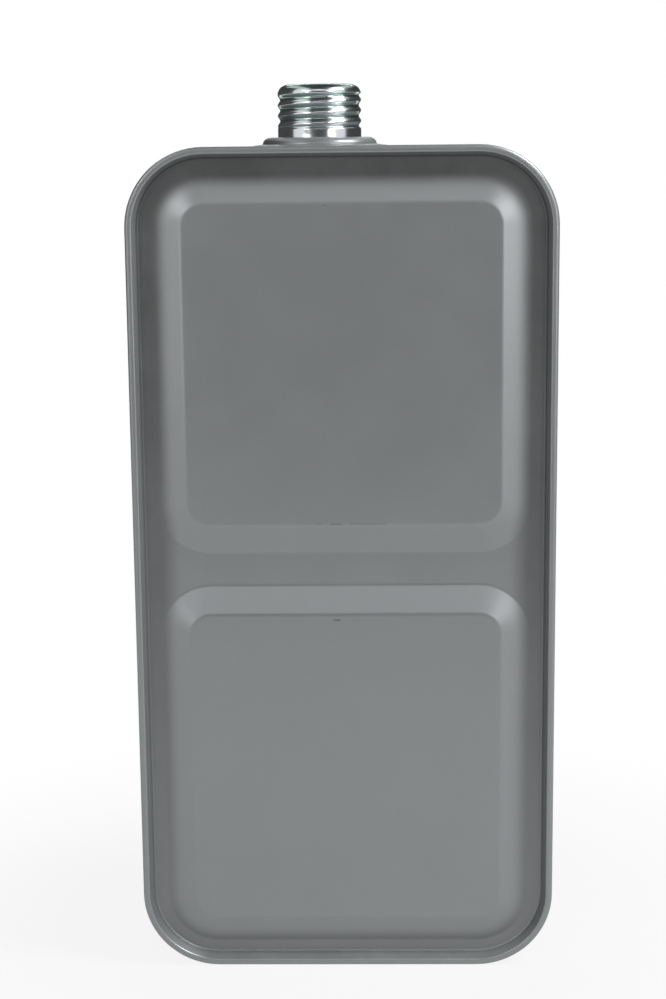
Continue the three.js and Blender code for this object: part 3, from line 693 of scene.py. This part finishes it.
def finish(name):
    """A finish by name, made on first use."""
    if name not in bpy.data.materials:
        for maker in EFFECTS:
            if maker.__name__ not in bpy.data.node_groups:
                maker()
        maker, *details = FINISHES[name]
        _, n, shader = blank(name)
        maker(n, shader, bpy.context.scene.tank_finish, *details)
    return bpy.data.materials[name]


# Pieces

def fold_layer(shell, k):
    """Middle of layer k of the fold, counted from the outer edge of the seam."""
    return shell.sheet / 2 + k * (shell.sheet + shell.fold_gap)


def wall_inside(shell):
    """Outer edge of the seam to the outer face of the band."""
    return 3 * (shell.sheet + shell.fold_gap)


def tank_ring(shell, inside, behind):
    """The tank's outline, a distance inside its outer edge and behind the front crest."""
    half_x, half_z = shell.width / 2 - inside, shell.height / 2 - inside
    return [(x, behind - shell.depth / 2, z + shell.height / 2)
            for x, z in rounded_box(half_x, half_z, shell.corner - inside)]


def panel_rings(shell, side, slope):
    """Rings of the upper (1) or lower (-1) raised panel, from the foot of its slope to its flat."""
    near = shell.web_z + side * shell.web / 2
    far = shell.height - shell.panel_inset if side > 0 else shell.panel_inset_low
    return boxes(shell.width / 2 - shell.panel_inset, abs(far - near) / 2, shell.panel_corner, slope,
                 lambda x, z, rise: (x, shell.sink - rise - shell.depth / 2, z + (near + far) / 2))


def plate_sections(shell):
    """Front and back face of an end plate from the hook in the fold to the field."""
    half, thin = shell.sheet / 2, shell.sheet
    pitch = shell.sheet + shell.fold_gap
    hook = [(fold_layer(shell, 2), HOOK_END)]
    hook += arc(fold_layer(shell, 1), shell.seam_long - half - pitch, pitch, pitch, 0, 180, 10)
    roll, high = shell.roll, shell.roll_high
    wall_end = shell.crest + shell.wall_lean
    wall = rounded([(roll, 0.0), (shell.crest, 0.0), (wall_end, shell.sink),
                    (wall_end + 2 * shell.wall_foot, shell.sink)], (shell.shoulder, shell.wall_foot), 8)
    front = offset(hook, half) + arc(roll, high, roll, high, 180, 270, 8) + wall[1:]
    back = offset(hook, -half) + arc(roll, high, roll - thin, high - thin, 180, 270, 8)
    return front, back + offset(wall, -thin)[1:]


def end_plate(shell):
    builder = Shell()
    slope = rounded([(shell.panel_slope + 1.5 * MM, 0.0), (shell.panel_slope, 0.0), (0.0, shell.panel_rise),
                     (-2 * MM, shell.panel_rise)], (shell.slope_foot, shell.slope_edge), 8)
    starts = []
    for section, path in zip(plate_sections(shell), (slope, offset(slope, -shell.sheet))):
        loops = builder.skin(tank_ring(shell, *point) for point in section)
        feet = []
        for side in (1, -1):
            panel = builder.skin(panel_rings(shell, side, path))
            builder.field(panel[-1])
            feet.append(panel[0])
        builder.field(loops[-1], *feet)
        starts.append(loops[0])
    builder.bridge(*starts)
    return builder


class TANK_OT_end_plates(bpy.types.Operator):
    """Front and rear end plate with sunk field, raised panels and rolled seam"""
    bl_idname = "tank.end_plates"
    bl_label = "End plates"

    def execute(self, context):
        plate = end_plate(context.scene.tank_shell)
        for name, turn in (("front_panel", 0.0), ("rear_panel", math.pi)):
            add_piece(name + "_pressing", plate, "satin_paint", "tank", name, Matrix.Rotation(turn, 4, "Z"))
        return {"FINISHED"}


def through_wall(builder, path, sheet, place_at):
    """A round drawn feature through a wall: outer face, edge of the hole, inner face."""
    loops = builder.skin(circles(path + offset(path, -sheet)[::-1], place_at))
    return loops[0], loops[-1]


def step_path(neck):
    """Drawn step under the neck, from the top wall to its hole."""
    return rounded([
        (neck.step_foot + 0.8 * MM, 0.0),
        (neck.step_foot, 0.0),
        (neck.step_edge, neck.step_rise - neck.step_fall),
        (neck.collar + CLEAR, neck.step_rise),
        (neck.bore, neck.step_rise),
    ], (1.0 * MM, 1.4 * MM, 3.0 * MM), 7)


def seat_path(gauge):
    """Drawn seat of the gauge, from the side wall to its window."""
    return rounded([(gauge.seat + 2 * MM, 0.0), (gauge.seat, 0.0), (gauge.seat, -gauge.seat_deep),
                    (gauge.hole, -gauge.seat_deep)], (1.0 * MM, 0.6 * MM), 6)


def pocket_block(handle, path, place_at):
    """A closed block with the pocket's outline, grown and sunk along a path."""
    rings = boxes(handle.pocket_x / 2, handle.pocket_y / 2, handle.pocket_corner, path, place_at, 10)
    return solid(rings).mesh("pocket_block")


def pocket_pan(handle, sheet, place_at):
    """Outside of the drawn pocket, from within the bottom wall."""
    floor = -handle.pocket_deep - sheet
    path = rounded([(sheet, -sheet / 2), (sheet, floor), (-3 * MM, floor)], (2.2 * MM,), 6)
    return pocket_block(handle, path, place_at)


def pocket_hollow(handle, place_at):
    """Inside of the drawn pocket, with a rounded lip that opens to the outside."""
    lip, flare, open_at = 1.4 * MM, 2.0 * MM, 115
    low, floor = -lip * math.sin(math.radians(open_at)), -handle.pocket_deep
    edge = arc(lip, low, lip, lip, open_at, 180, 6)
    path = [(edge[0][0] + flare, flare * math.tan(math.radians(open_at - 90)))] + edge
    path += rounded([(0.0, low), (0.0, floor), (-3 * MM, floor)], (1.6 * MM,), 6)[1:]
    return pocket_block(handle, path, place_at)


def lap_joint(builder, shell, place_at):
    """Raised lap of the band with a row of weld spots."""
    half = shell.lap_wide / 2
    long = shell.depth / 2 - shell.seam_long - 0.9 * MM
    middle = shell.lap_z + half
    path = rounded([(0.5 * MM, 0.0), (0.0, 0.0), (0.0, shell.sheet), (-0.8 * MM, shell.sheet)],
                   (0.15 * MM, 0.3 * MM), 4)
    rings = builder.skin(boxes(long, half, 1.0 * MM, path,
                               lambda u, v, h: place_at(u, v + middle, h), 6))
    dip = ((1.5 * MM, 0.0), (1.25 * MM, -0.03 * MM), (0.95 * MM, -0.13 * MM), (0.5 * MM, -0.16 * MM))
    spots = []
    for i in range(WELD_SPOTS):
        at = (i - (WELD_SPOTS - 1) / 2) * WELD_PITCH
        loops = builder.skin(circles(dip, lambda x, y, h: place_at(at + x, middle + y, shell.sheet + h), 20))
        builder.field(loops[-1])
        spots.append(loops[0])
    builder.field(rings[-1], *spots)
    return rings[0]


class TANK_OT_body_band(bpy.types.Operator):
    """Band round the tank with drawn step, handle pocket, gauge seat and lap joint"""
    bl_idname = "tank.body_band"
    bl_label = "Body band"

    def execute(self, context):
        scene = context.scene
        shell, neck, handle, gauge = scene.tank_shell, scene.tank_neck, scene.tank_handle, scene.tank_gauge
        builder = Shell()
        inside = wall_inside(shell)
        ends = (BAND_END, shell.depth - BAND_END)
        walls = []
        for depth_in in (inside, inside + shell.sheet):
            near, far = (builder.loop(tank_ring(shell, depth_in, end)) for end in ends)
            flats = [len(near) // 4 * k - 1 for k in (1, 2, 3, 4)]
            builder.bridge(near, far, skip=flats)
            nexts = [(i + 1) % len(near) for i in flats]
            walls.append((near, far, [[near[i], near[j], far[j], far[i]] for i, j in zip(flats, nexts)]))
        for outer_end, inner_end in zip(walls[0][:2], walls[1][:2]):
            builder.bridge(outer_end, inner_end)
        side = shell.width / 2 - inside
        top = shell.height - inside
        step = through_wall(builder, step_path(neck), shell.sheet,
                            lambda x, y, h: (x + neck.x, y, top + h))
        seat = through_wall(builder, seat_path(gauge), shell.sheet,
                            lambda x, y, h: (side + h, x, y + FLOAT_PIVOT.z))
        lap = lap_joint(builder, shell, lambda u, v, h: (-side - h, u, v))
        for k, holes in enumerate((step, (lap, None), (None, None), seat)):
            for (_, _, sides), hole in zip(walls, holes):
                builder.field(sides[k], *([hole] if hole else []))

        def under(x, y, h):
            return (x, y, inside - h)

        within = inside + 0.2 * MM  # inside the sheet of the wall
        space = solid([tank_ring(shell, within, behind) for behind in (0.0, shell.depth)])
        pan = combined(pocket_pan(handle, shell.sheet, under), ("INTERSECT", space.mesh("tank_space")))
        data = combined(builder.mesh("body_band_sheet"), ("UNION", pan))
        data = combined(data, ("DIFFERENCE", pocket_hollow(handle, under)))
        add_piece("body_band_sheet", data, "satin_paint", "tank", "body_band")
        return {"FINISHED"}


class TANK_OT_seam_seals(bpy.types.Operator):
    """Sealing compound in both seams"""
    bl_idname = "tank.seam_seals"
    bl_label = "Seam seals"

    def execute(self, context):
        dress("soft_rubber", "front_seam_seal", "rear_seam_seal")
        return {"FINISHED"}


def thread_radius(neck, height, turn):
    """Radius of the rolled thread at a height above its start."""
    def ease(value):
        share = min(max(value / (neck.pitch / 3), 0.0), 1.0)
        return share * share * (3 - 2 * share)

    run = ease(height)
    end = ease(neck.thread_turns * neck.pitch - height)
    phase = turn + neck.thread_phase
    wave = math.cos(2 * math.pi * height / neck.pitch - phase) / 2 - 0.5
    return neck.radius + min(run, end) * neck.thread_deep * wave


def lip_path(neck, top):
    """Curled mouth, from the bead over the top and down the bore."""
    bead = neck.radius - neck.lip_in
    low = top - neck.lip_high
    flat = neck.mouth + neck.lip_flat
    return arc(flat, low, bead - flat, neck.lip_high, 0, 90, 12) + rounded([
        (flat - 0.3 * MM, top),
        (neck.mouth, top),
        (neck.mouth, top - 1.2 * MM),
        ((neck.mouth + neck.bore) / 2, top - 1.8 * MM),
        (neck.bore, low),
        (neck.bore, NECK_LOW.z),
    ], (0.3 * MM, 0.5 * MM, 0.8 * MM, 1.5 * MM), 4)


class TANK_OT_filler_neck(bpy.types.Operator):
    """Threaded filler neck with its gasket and clamping collar"""
    bl_idname = "tank.filler_neck"
    bl_label = "Filler neck"

    def execute(self, context):
        neck, shell = context.scene.tank_neck, context.scene.tank_shell
        bottom, top = NECK_LOW.z, NECK_HIGH.z
        turns = [2 * math.pi * i / THREAD_STEPS for i in range(THREAD_STEPS)]

        def ring(radius_at, z):
            return [(neck.x + radius_at(turn) * math.cos(turn), radius_at(turn) * math.sin(turn), z)
                    for turn in turns]

        base = rounded([
            (neck.flange, bottom),
            (neck.flange, bottom + shell.sheet),
            (neck.radius, bottom + shell.sheet),
            (neck.radius, bottom + neck.thread_start - 0.2 * MM),
        ], (0.15 * MM, 0.8 * MM), 4)
        rings = [ring(lambda turn: r, z) for r, z in base]
        steps = round(neck.thread_turns * THREAD_ROWS_PER_TURN)
        for i in range(steps + 1):
            height = neck.thread_turns * neck.pitch * i / steps
            rings.append(ring(lambda turn: thread_radius(neck, height, turn),
                              bottom + neck.thread_start + height))
        rings += [ring(lambda turn: r, z) for r, z in lip_path(neck, top)]
        builder = Shell()
        loops = builder.skin(rings)
        builder.bridge(loops[-1], loops[0])
        add_piece("filler_neck_rolled", builder, "bright_zinc", "tank", "filler_neck")

        edge = neck.collar - neck.collar_side
        hole = neck.radius + CLEAR
        # The foot reaches down to the step, so that no light shows through below the collar.
        high, low = COLLAR_HIGH.z, COLLAR_LOW.z - shell.fold_gap + 0.02 * MM
        wall = 1.0 * MM
        under = high - shell.sheet
        profile = arc(edge, low, neck.collar_side, high - low, 0, 90, 12)
        profile += rounded([(edge - wall, high), (hole, high), (hole, under), (edge - wall, under)],
                           (0.25 * MM, 0.1 * MM), 4)
        profile += arc(edge, low, neck.collar_side - wall, under - low, 90, 0, 8)
        collar = turned(profile, lambda x, y, h: (x + neck.x, y, h))
        add_piece("neck_collar_pressing", collar, "satin_paint", "tank", "neck_collar")
        dress("soft_rubber", "neck_gasket")
        return {"FINISHED"}


def wire_points(handle, end):
    """Middle line of the bail in its own plane, with round bends."""
    leg = handle.wide / 2
    return rounded([(-end, 0.0), (-leg, 0.0), (-leg, handle.reach), (leg, handle.reach), (leg, 0.0),
                    (end, 0.0)], (handle.bend,) * 4, 12)


def swept_wire(path, radius, steps=20):
    """A round wire along a flat path, with rounded ends."""
    rings = []
    last = len(path) - 1
    cap = 0.35 * radius
    for i, point in enumerate(path):
        before, after = Vector(path[max(i - 1, 0)]), Vector(path[min(i + 1, last)])
        along = (after - before).normalized()
        across = Vector((along.y, -along.x))
        rows = [(Vector(point), radius)]
        if i in (0, last):
            inward = along if i == 0 else -along
            rows = [(Vector(point) + inward * cap * (1 - math.sin(t)), radius - cap * (1 - math.cos(t)))
                    for t in (math.pi / 2, math.pi / 3, math.pi / 6, 0.0)]
            if i:
                rows.reverse()
        for middle, size in rows:
            rings.append([(middle.x + across.x * x, middle.y + across.y * x, y)
                          for x, y in circle(size, steps)])
    return solid(rings)


def grip_path(handle):
    """Sleeve profile with moulded finger rings, bore last."""
    half = handle.grip_long / 2
    bore = handle.wire + CLEAR
    full, low = handle.grip, handle.grip - 0.7 * MM
    plain, chamfer, groove = 5 * MM, 1.2 * MM, 0.45 * MM
    path = [(bore, -half), (low, -half), (full, -half + chamfer), (full, -half + plain)]
    rings, steps = 10, 8
    pitch = (2 * half - 2 * plain) / rings
    for i in range(rings):
        start = -half + plain + i * pitch
        for k in range(1, steps + 1):
            share = k / steps
            path.append((full - groove * (1 - math.cos(2 * math.pi * share)) / 2, start + pitch * share))
    return path + [(full, half - chamfer), (low, half), (bore, half)]


def lug(handle, side):
    """Welded ear with a round end, its foot turned away from the bail."""
    thick, foot = handle.lug_thick, handle.lug_foot
    half = (LUG_HIGH.y - LUG_LOW.y) / 2
    top, low = LUG_HIGH.z - HANDLE_PIVOT.z, LUG_LOW.z - HANDLE_PIVOT.z
    bend, end, tall = thick * 0.9, thick / 2 + foot, 3 * half
    profile = rounded([(-thick / 2, low), (-thick / 2, top), (end, top)], (bend + thick * 0.6,), 6)
    profile += rounded([(end, top - thick), (thick / 2, top - thick), (thick / 2, low)], (bend * 0.5,), 6)
    sheet = solid([[(x, y, z) for x, z in profile] for y in (-half, half)])
    hole = handle.wire + CLEAR
    bore = turned([(0.0, -2 * thick), (hole, -2 * thick), (hole, 2 * thick), (0.0, 2 * thick)], sideways, 48)
    plan = rounded_box(end, half, 2.2 * MM, 8)
    outline = solid([[(x, y, z) for x, y in plan] for z in (-tall, tall)])
    plan = rounded_box(half, 2 * half, 3.4 * MM, 8)
    ear = solid([[(x, y, z + low + 2 * half) for y, z in plan] for x in (-tall, tall)])
    data = combined(sheet.mesh("lug_sheet"), ("DIFFERENCE", bore.mesh("lug_bore")),
                    ("INTERSECT", outline.mesh("lug_outline")), ("INTERSECT", ear.mesh("lug_ear")),
                    bevel=0.22 * MM)
    turn = Matrix.Rotation(math.pi if side < 0 else 0.0, 4, "Z")
    data.transform(Matrix.Translation((side * handle.lug_x, HANDLE_PIVOT.y, HANDLE_PIVOT.z)) @ turn)
    return data


class TANK_OT_handle(bpy.types.Operator):
    """Wire bail with its grip and the two lugs that carry it"""
    bl_idname = "tank.handle"
    bl_label = "Handle"

    def execute(self, context):
        handle = context.scene.tank_handle
        wire = swept_wire(wire_points(handle, BAIL_HIGH.x), handle.wire)
        add_piece("handle_bail_wire", wire, "bright_zinc", "handle", "handle_bail",
                  Matrix.Translation(HANDLE_PIVOT))
        sleeve = turned(grip_path(handle), sideways, 48)
        add_piece("handle_grip_sleeve", sleeve, "black_grip", "handle", "handle_grip",
                  Matrix.Translation(HANDLE_PIVOT + Vector((0.0, handle.reach, 0.0))))
        for name, side in (("handle_lug_left", -1), ("handle_lug_right", 1)):
            add_piece(name + "_plate", lug(handle, side), "satin_paint", "tank", name)
        return {"FINISHED"}


class TANK_OT_gauge_window(bpy.types.Operator):
    """Bezel, lens, gasket and bracket of the level gauge"""
    bl_idname = "tank.gauge_window"
    bl_label = "Gauge window"

    def execute(self, context):
        gauge, shell = context.scene.tank_gauge, context.scene.tank_shell
        on_axis = Matrix.Translation((0.0, 0.0, FLOAT_PIVOT.z))
        back, face = BEZEL_LOW.x, BEZEL_HIGH.x
        skirt = gauge.bezel - gauge.bezel_wall
        ledge = face - shell.sheet
        profile = rounded([
            (skirt, back),
            (gauge.bezel, back),
            (gauge.bezel, face),
            (gauge.hole, face),
            (gauge.hole, ledge),
            (skirt, ledge),
            (skirt, back),
        ], (0.15 * MM, 0.75 * MM, 0.22 * MM, 0.22 * MM, 0.15 * MM), 6)
        add_piece("gauge_bezel_ring", turned(profile[:-1], sideways), "bright_zinc", "tank", "gauge_bezel",
                  on_axis)
        rear, front = LENS_LOW.x, LENS_HIGH.x
        rim = front - 0.9 * MM
        edge = gauge.hole - CLEAR
        profile = [(0.0, rear)] + rounded([
            (1 * MM, rear),
            (gauge.lens, rear),
            (gauge.lens, rim),
            (edge, rim),
            (edge - 0.6 * MM, front - 0.25 * MM),
            (edge - 4 * MM, front - 0.05 * MM),
            (1 * MM, front),
        ], (0.2 * MM, 0.2 * MM, 0.15 * MM, 0.5 * MM, 5 * MM), 5) + [(0.0, front)]
        add_piece("gauge_lens_disc", turned(profile, sideways), "clear_lens", "tank", "gauge_lens", on_axis)
        dress("soft_rubber", "gauge_gasket")
        dress("bright_zinc", "gauge_bracket", "gauge_pivot_pin")
        return {"FINISHED"}


class TANK_OT_float_arm(bpy.types.Operator):
    """Arm, foam float and red pointer of the level gauge"""
    bl_idname = "tank.float_arm"
    bl_label = "Float arm"

    def execute(self, context):
        gauge = context.scene.tank_gauge
        hang = Matrix.Translation(FLOAT_PIVOT) @ Matrix.Rotation(-gauge.rest_angle, 4, "Y")
        half, full, edge = gauge.float_long / 2, gauge.float_radius, 2.4 * MM
        profile = [(0.0, -half)] + rounded([(2 * MM, -half), (full, -half), (full, half), (2 * MM, half)],
                                           (edge, edge), 8) + [(0.0, half)]
        body = turned(profile, lambda x, y, h: (x, h, y), 64)
        add_piece("gauge_float_foam", body, "cut_foam", "float_arm", "gauge_float",
                  hang @ Matrix.Translation((-gauge.arm_reach, 0.0, 0.0)))

        def at_target(y, z, h):
            return (gauge.pointer_reach + h, y, z)

        thick = gauge.pointer_thick
        levels = rounded([(-1.5 * MM, 0.0), (0.0, 0.0), (0.0, thick), (-1.5 * MM, thick)],
                         (0.25 * MM, 0.3 * MM), 4)
        target = Shell()
        rings = target.skin(boxes(gauge.pointer_wide / 2, gauge.pointer_high / 2, 2.0 * MM, levels,
                                  at_target, 6))
        target.field(rings[-1])
        socket = target.skin(circles(((2.6 * MM, 0.0), (2.3 * MM, -0.3 * MM), (2.3 * MM, -4.0 * MM),
                                      (1.3 * MM, -4.0 * MM), (1.3 * MM, -0.2 * MM)), at_target, 24))
        target.field(socket[-1])
        target.field(rings[0], socket[0])
        add_piece("gauge_pointer_target", target, "red_pointer", "float_arm", "gauge_pointer", hang)
        dress("bright_zinc", "gauge_arm")
        return {"FINISHED"}


# Stage: place and size of each lamp; place, target, size and level of each dark card.

LAMP_AIM = (0.0, 0.0, 0.22)
LAMPS = {
    "right": ((0.785, -0.286, 1.216), (0.36, 0.5)),
    "left_front": ((-0.572, -0.848, 0.676), (0.34, 0.3)),
    "right_front": ((0.606, -0.933, 0.68), (0.36, 0.36)),
    "left_low": ((-0.525, -0.988, 0.259), (0.34, 0.2)),
    "right_low": ((0.586, -0.938, 0.395), (0.3, 0.3)),
    "front": ((0.0, -0.96, 0.62), (0.8, 0.26)),
    "high_front": ((0.0, -0.9, 0.88), (0.6, 0.3)),
    "rear": ((0.0, 1.6, 0.8), (0.8, 0.8)),
}
FLAGS = {
    "front": ((-0.12, -1.0, 0.8), (-0.12, 0.0, 0.8), (1.44, 1.6), 0.03),
    "left": ((-1.1, 0.6, 0.8), (0.0, 0.6, 0.8), (1.8, 1.6), 0.05),
    "right": ((1.1, 0.65, 0.8), (0.0, 0.65, 0.8), (1.8, 1.6), 0.04),
    "back": ((0.0, 1.5, 0.8), (0.0, 0.0, 0.8), (2.4, 1.6), 0.05),
    "top": ((0.0, 0.0, 1.8), (0.0, 0.01, 0.3), (1.2, 3.0), 0.05),
    "neck": ((-0.01, -0.45, 0.495), (-0.01, 0.0, 0.495), (0.44, 0.11), 0.03),
}
FLOOR_SIZE = (12.0, 12.0)
FLOOR_Z = -0.0001


def put(name, data, place_at, target=None):
    """An object of the stage at a place, turned towards a target."""
    made = bpy.data.objects.new(name, data)
    made.location = place_at
    if target:
        made.rotation_euler = (Vector(target) - Vector(place_at)).to_track_quat("-Z", "Y").to_euler()
    bpy.context.scene.collection.objects.link(made)
    return made


def card(name, size, material):
    x, y = size[0] / 2, size[1] / 2
    data = bpy.data.meshes.new(name)
    data.from_pydata([(-x, -y, 0), (x, -y, 0), (x, y, 0), (-x, y, 0)], [], [(0, 1, 2, 3)])
    data.materials.append(material)
    return data


def lamp(name, place_at, size, power):
    data = bpy.data.lights.new(name, "AREA")
    data.shape, data.size, data.size_y, data.energy = "RECTANGLE", size[0], size[1], power
    put(name, data, place_at, LAMP_AIM).visible_camera = False


def flag(name, place_at, target, size, level):
    """A dark card that only shows in reflections."""
    material, n, shader = blank(name)
    n.fill(shader, {"Base Color": rgba((0.02, 0.02, 0.02)), "Roughness": 1.0,
                    "Emission Color": rgba((level, level, level)), "Emission Strength": 1.0})
    made = put(name, card(name, size, material), place_at, target)
    for ray in ("camera", "diffuse", "shadow", "transmission", "volume_scatter"):
        setattr(made, "visible_" + ray, False)


def seen_ray(n):
    """1 for rays that show the background: camera, glossy and transmission rays."""
    ray = n.add("LightPath").outputs
    both = n.calc("MAXIMUM", ray["Is Camera Ray"], ray["Is Glossy Ray"])
    return n.calc("MAXIMUM", both, ray["Is Transmission Ray"])


def studio_world():
    """White behind the tank and in its reflections. All other light comes from the lamps."""
    world = bpy.data.worlds.new("studio")
    world.use_nodes = True
    n = Nodes(world.node_tree)
    n.tree.nodes.clear()
    white = n.add("Background", {"Color": rgba((1, 1, 1)), "Strength": seen_ray(n)})
    n.add("OutputWorld", {0: white.outputs[0]})
    return world


def studio_floor(colour):
    """Pale floor that keeps the shadow near the tank and runs out to white."""
    made, n, _ = blank("studio_floor")
    n.tree.nodes.clear()
    far = n.vector("LENGTH", n.where(), output="Value")
    away = n.times(n.span(far, 0.1, 0.35, 0.88, 1.0), seen_ray(n))
    plain = n.add("BsdfDiffuse", {"Color": rgba(colour)})
    white = n.add("Emission", {"Color": rgba((1, 1, 1)), "Strength": 1.0})
    both = n.add("MixShader", {0: away, 1: plain.outputs[0], 2: white.outputs[0]})
    n.add("OutputMaterial", {0: both.outputs[0]})
    return made


class TANK_OT_stage(bpy.types.Operator):
    """Pale floor, soft lamps, white background and the camera"""
    bl_idname = "tank.stage"
    bl_label = "Stage"

    def execute(self, context):
        scene, stage = context.scene, context.scene.tank_stage
        scene.view_settings.view_transform = "Standard"
        scene.world = studio_world()
        surface = card("studio_floor", FLOOR_SIZE, studio_floor(scene.tank_finish.floor))
        put("studio_floor", surface, (0.0, 0.0, FLOOR_Z))
        for name, (place_at, size) in LAMPS.items():
            lamp(name + "_lamp", place_at, size, getattr(stage, name))
        for name, settings in FLAGS.items():
            flag(name + "_flag", *settings)
        data = bpy.data.cameras.new("photo_camera")
        data.sensor_fit, data.sensor_height, data.lens = "VERTICAL", 36.0, stage.focal
        data.clip_start, data.clip_end = 0.01, 50.0
        pitch, yaw, roll = stage.pitch, stage.yaw, stage.roll
        forward = Vector((math.sin(yaw) * math.cos(pitch), math.cos(yaw) * math.cos(pitch), -math.sin(pitch)))
        level = Vector((math.cos(yaw), -math.sin(yaw), 0.0))
        up = level.cross(forward)
        right = level * math.cos(roll) + up * math.sin(roll)
        over = up * math.cos(roll) - level * math.sin(roll)
        turn = Matrix((right, over, -forward)).transposed().to_4x4()
        scene.camera = put("photo_camera", data, stage.camera)
        scene.camera.matrix_world = Matrix.Translation(stage.camera) @ turn
        return {"FINISHED"}


class TANK_PT_pieces(bpy.types.Panel):
    """Lists the pieces, their sizes and their colours"""
    bl_idname = "TANK_PT_pieces"
    bl_label = "Fuel tank"
    bl_space_type = "VIEW_3D"
    bl_region_type = "UI"
    bl_category = "Fuel tank"

    def draw(self, context):
        for operator in OPERATORS:
            self.layout.operator(operator.bl_idname)
        for name, group in GROUPS.items():
            box = self.layout.box()
            box.label(text=group.__doc__)
            for key in group.__annotations__:
                box.prop(getattr(context.scene, name), key)


GROUPS = {
    "tank_shell": ShellSizes,
    "tank_neck": NeckSizes,
    "tank_handle": HandleSizes,
    "tank_gauge": GaugeSizes,
    "tank_finish": FinishColours,
    "tank_stage": StageSettings,
}
OPERATORS = (
    TANK_OT_stage,
    TANK_OT_end_plates,
    TANK_OT_body_band,
    TANK_OT_seam_seals,
    TANK_OT_filler_neck,
    TANK_OT_handle,
    TANK_OT_gauge_window,
    TANK_OT_float_arm,
)
CLASSES = (*GROUPS.values(), *OPERATORS, TANK_PT_pieces)


def register():
    for cls in CLASSES:
        bpy.utils.register_class(cls)
    for name, group in GROUPS.items():
        setattr(bpy.types.Scene, name, PointerProperty(type=group))


def unregister():
    for name in GROUPS:
        delattr(bpy.types.Scene, name)
    for cls in reversed(CLASSES):
        bpy.utils.unregister_class(cls)


def main():
    register()
    for operator in OPERATORS:
        family, name = operator.bl_idname.split(".")
        getattr(getattr(bpy.ops, family), name)()


if __name__ == "__main__":
    main()
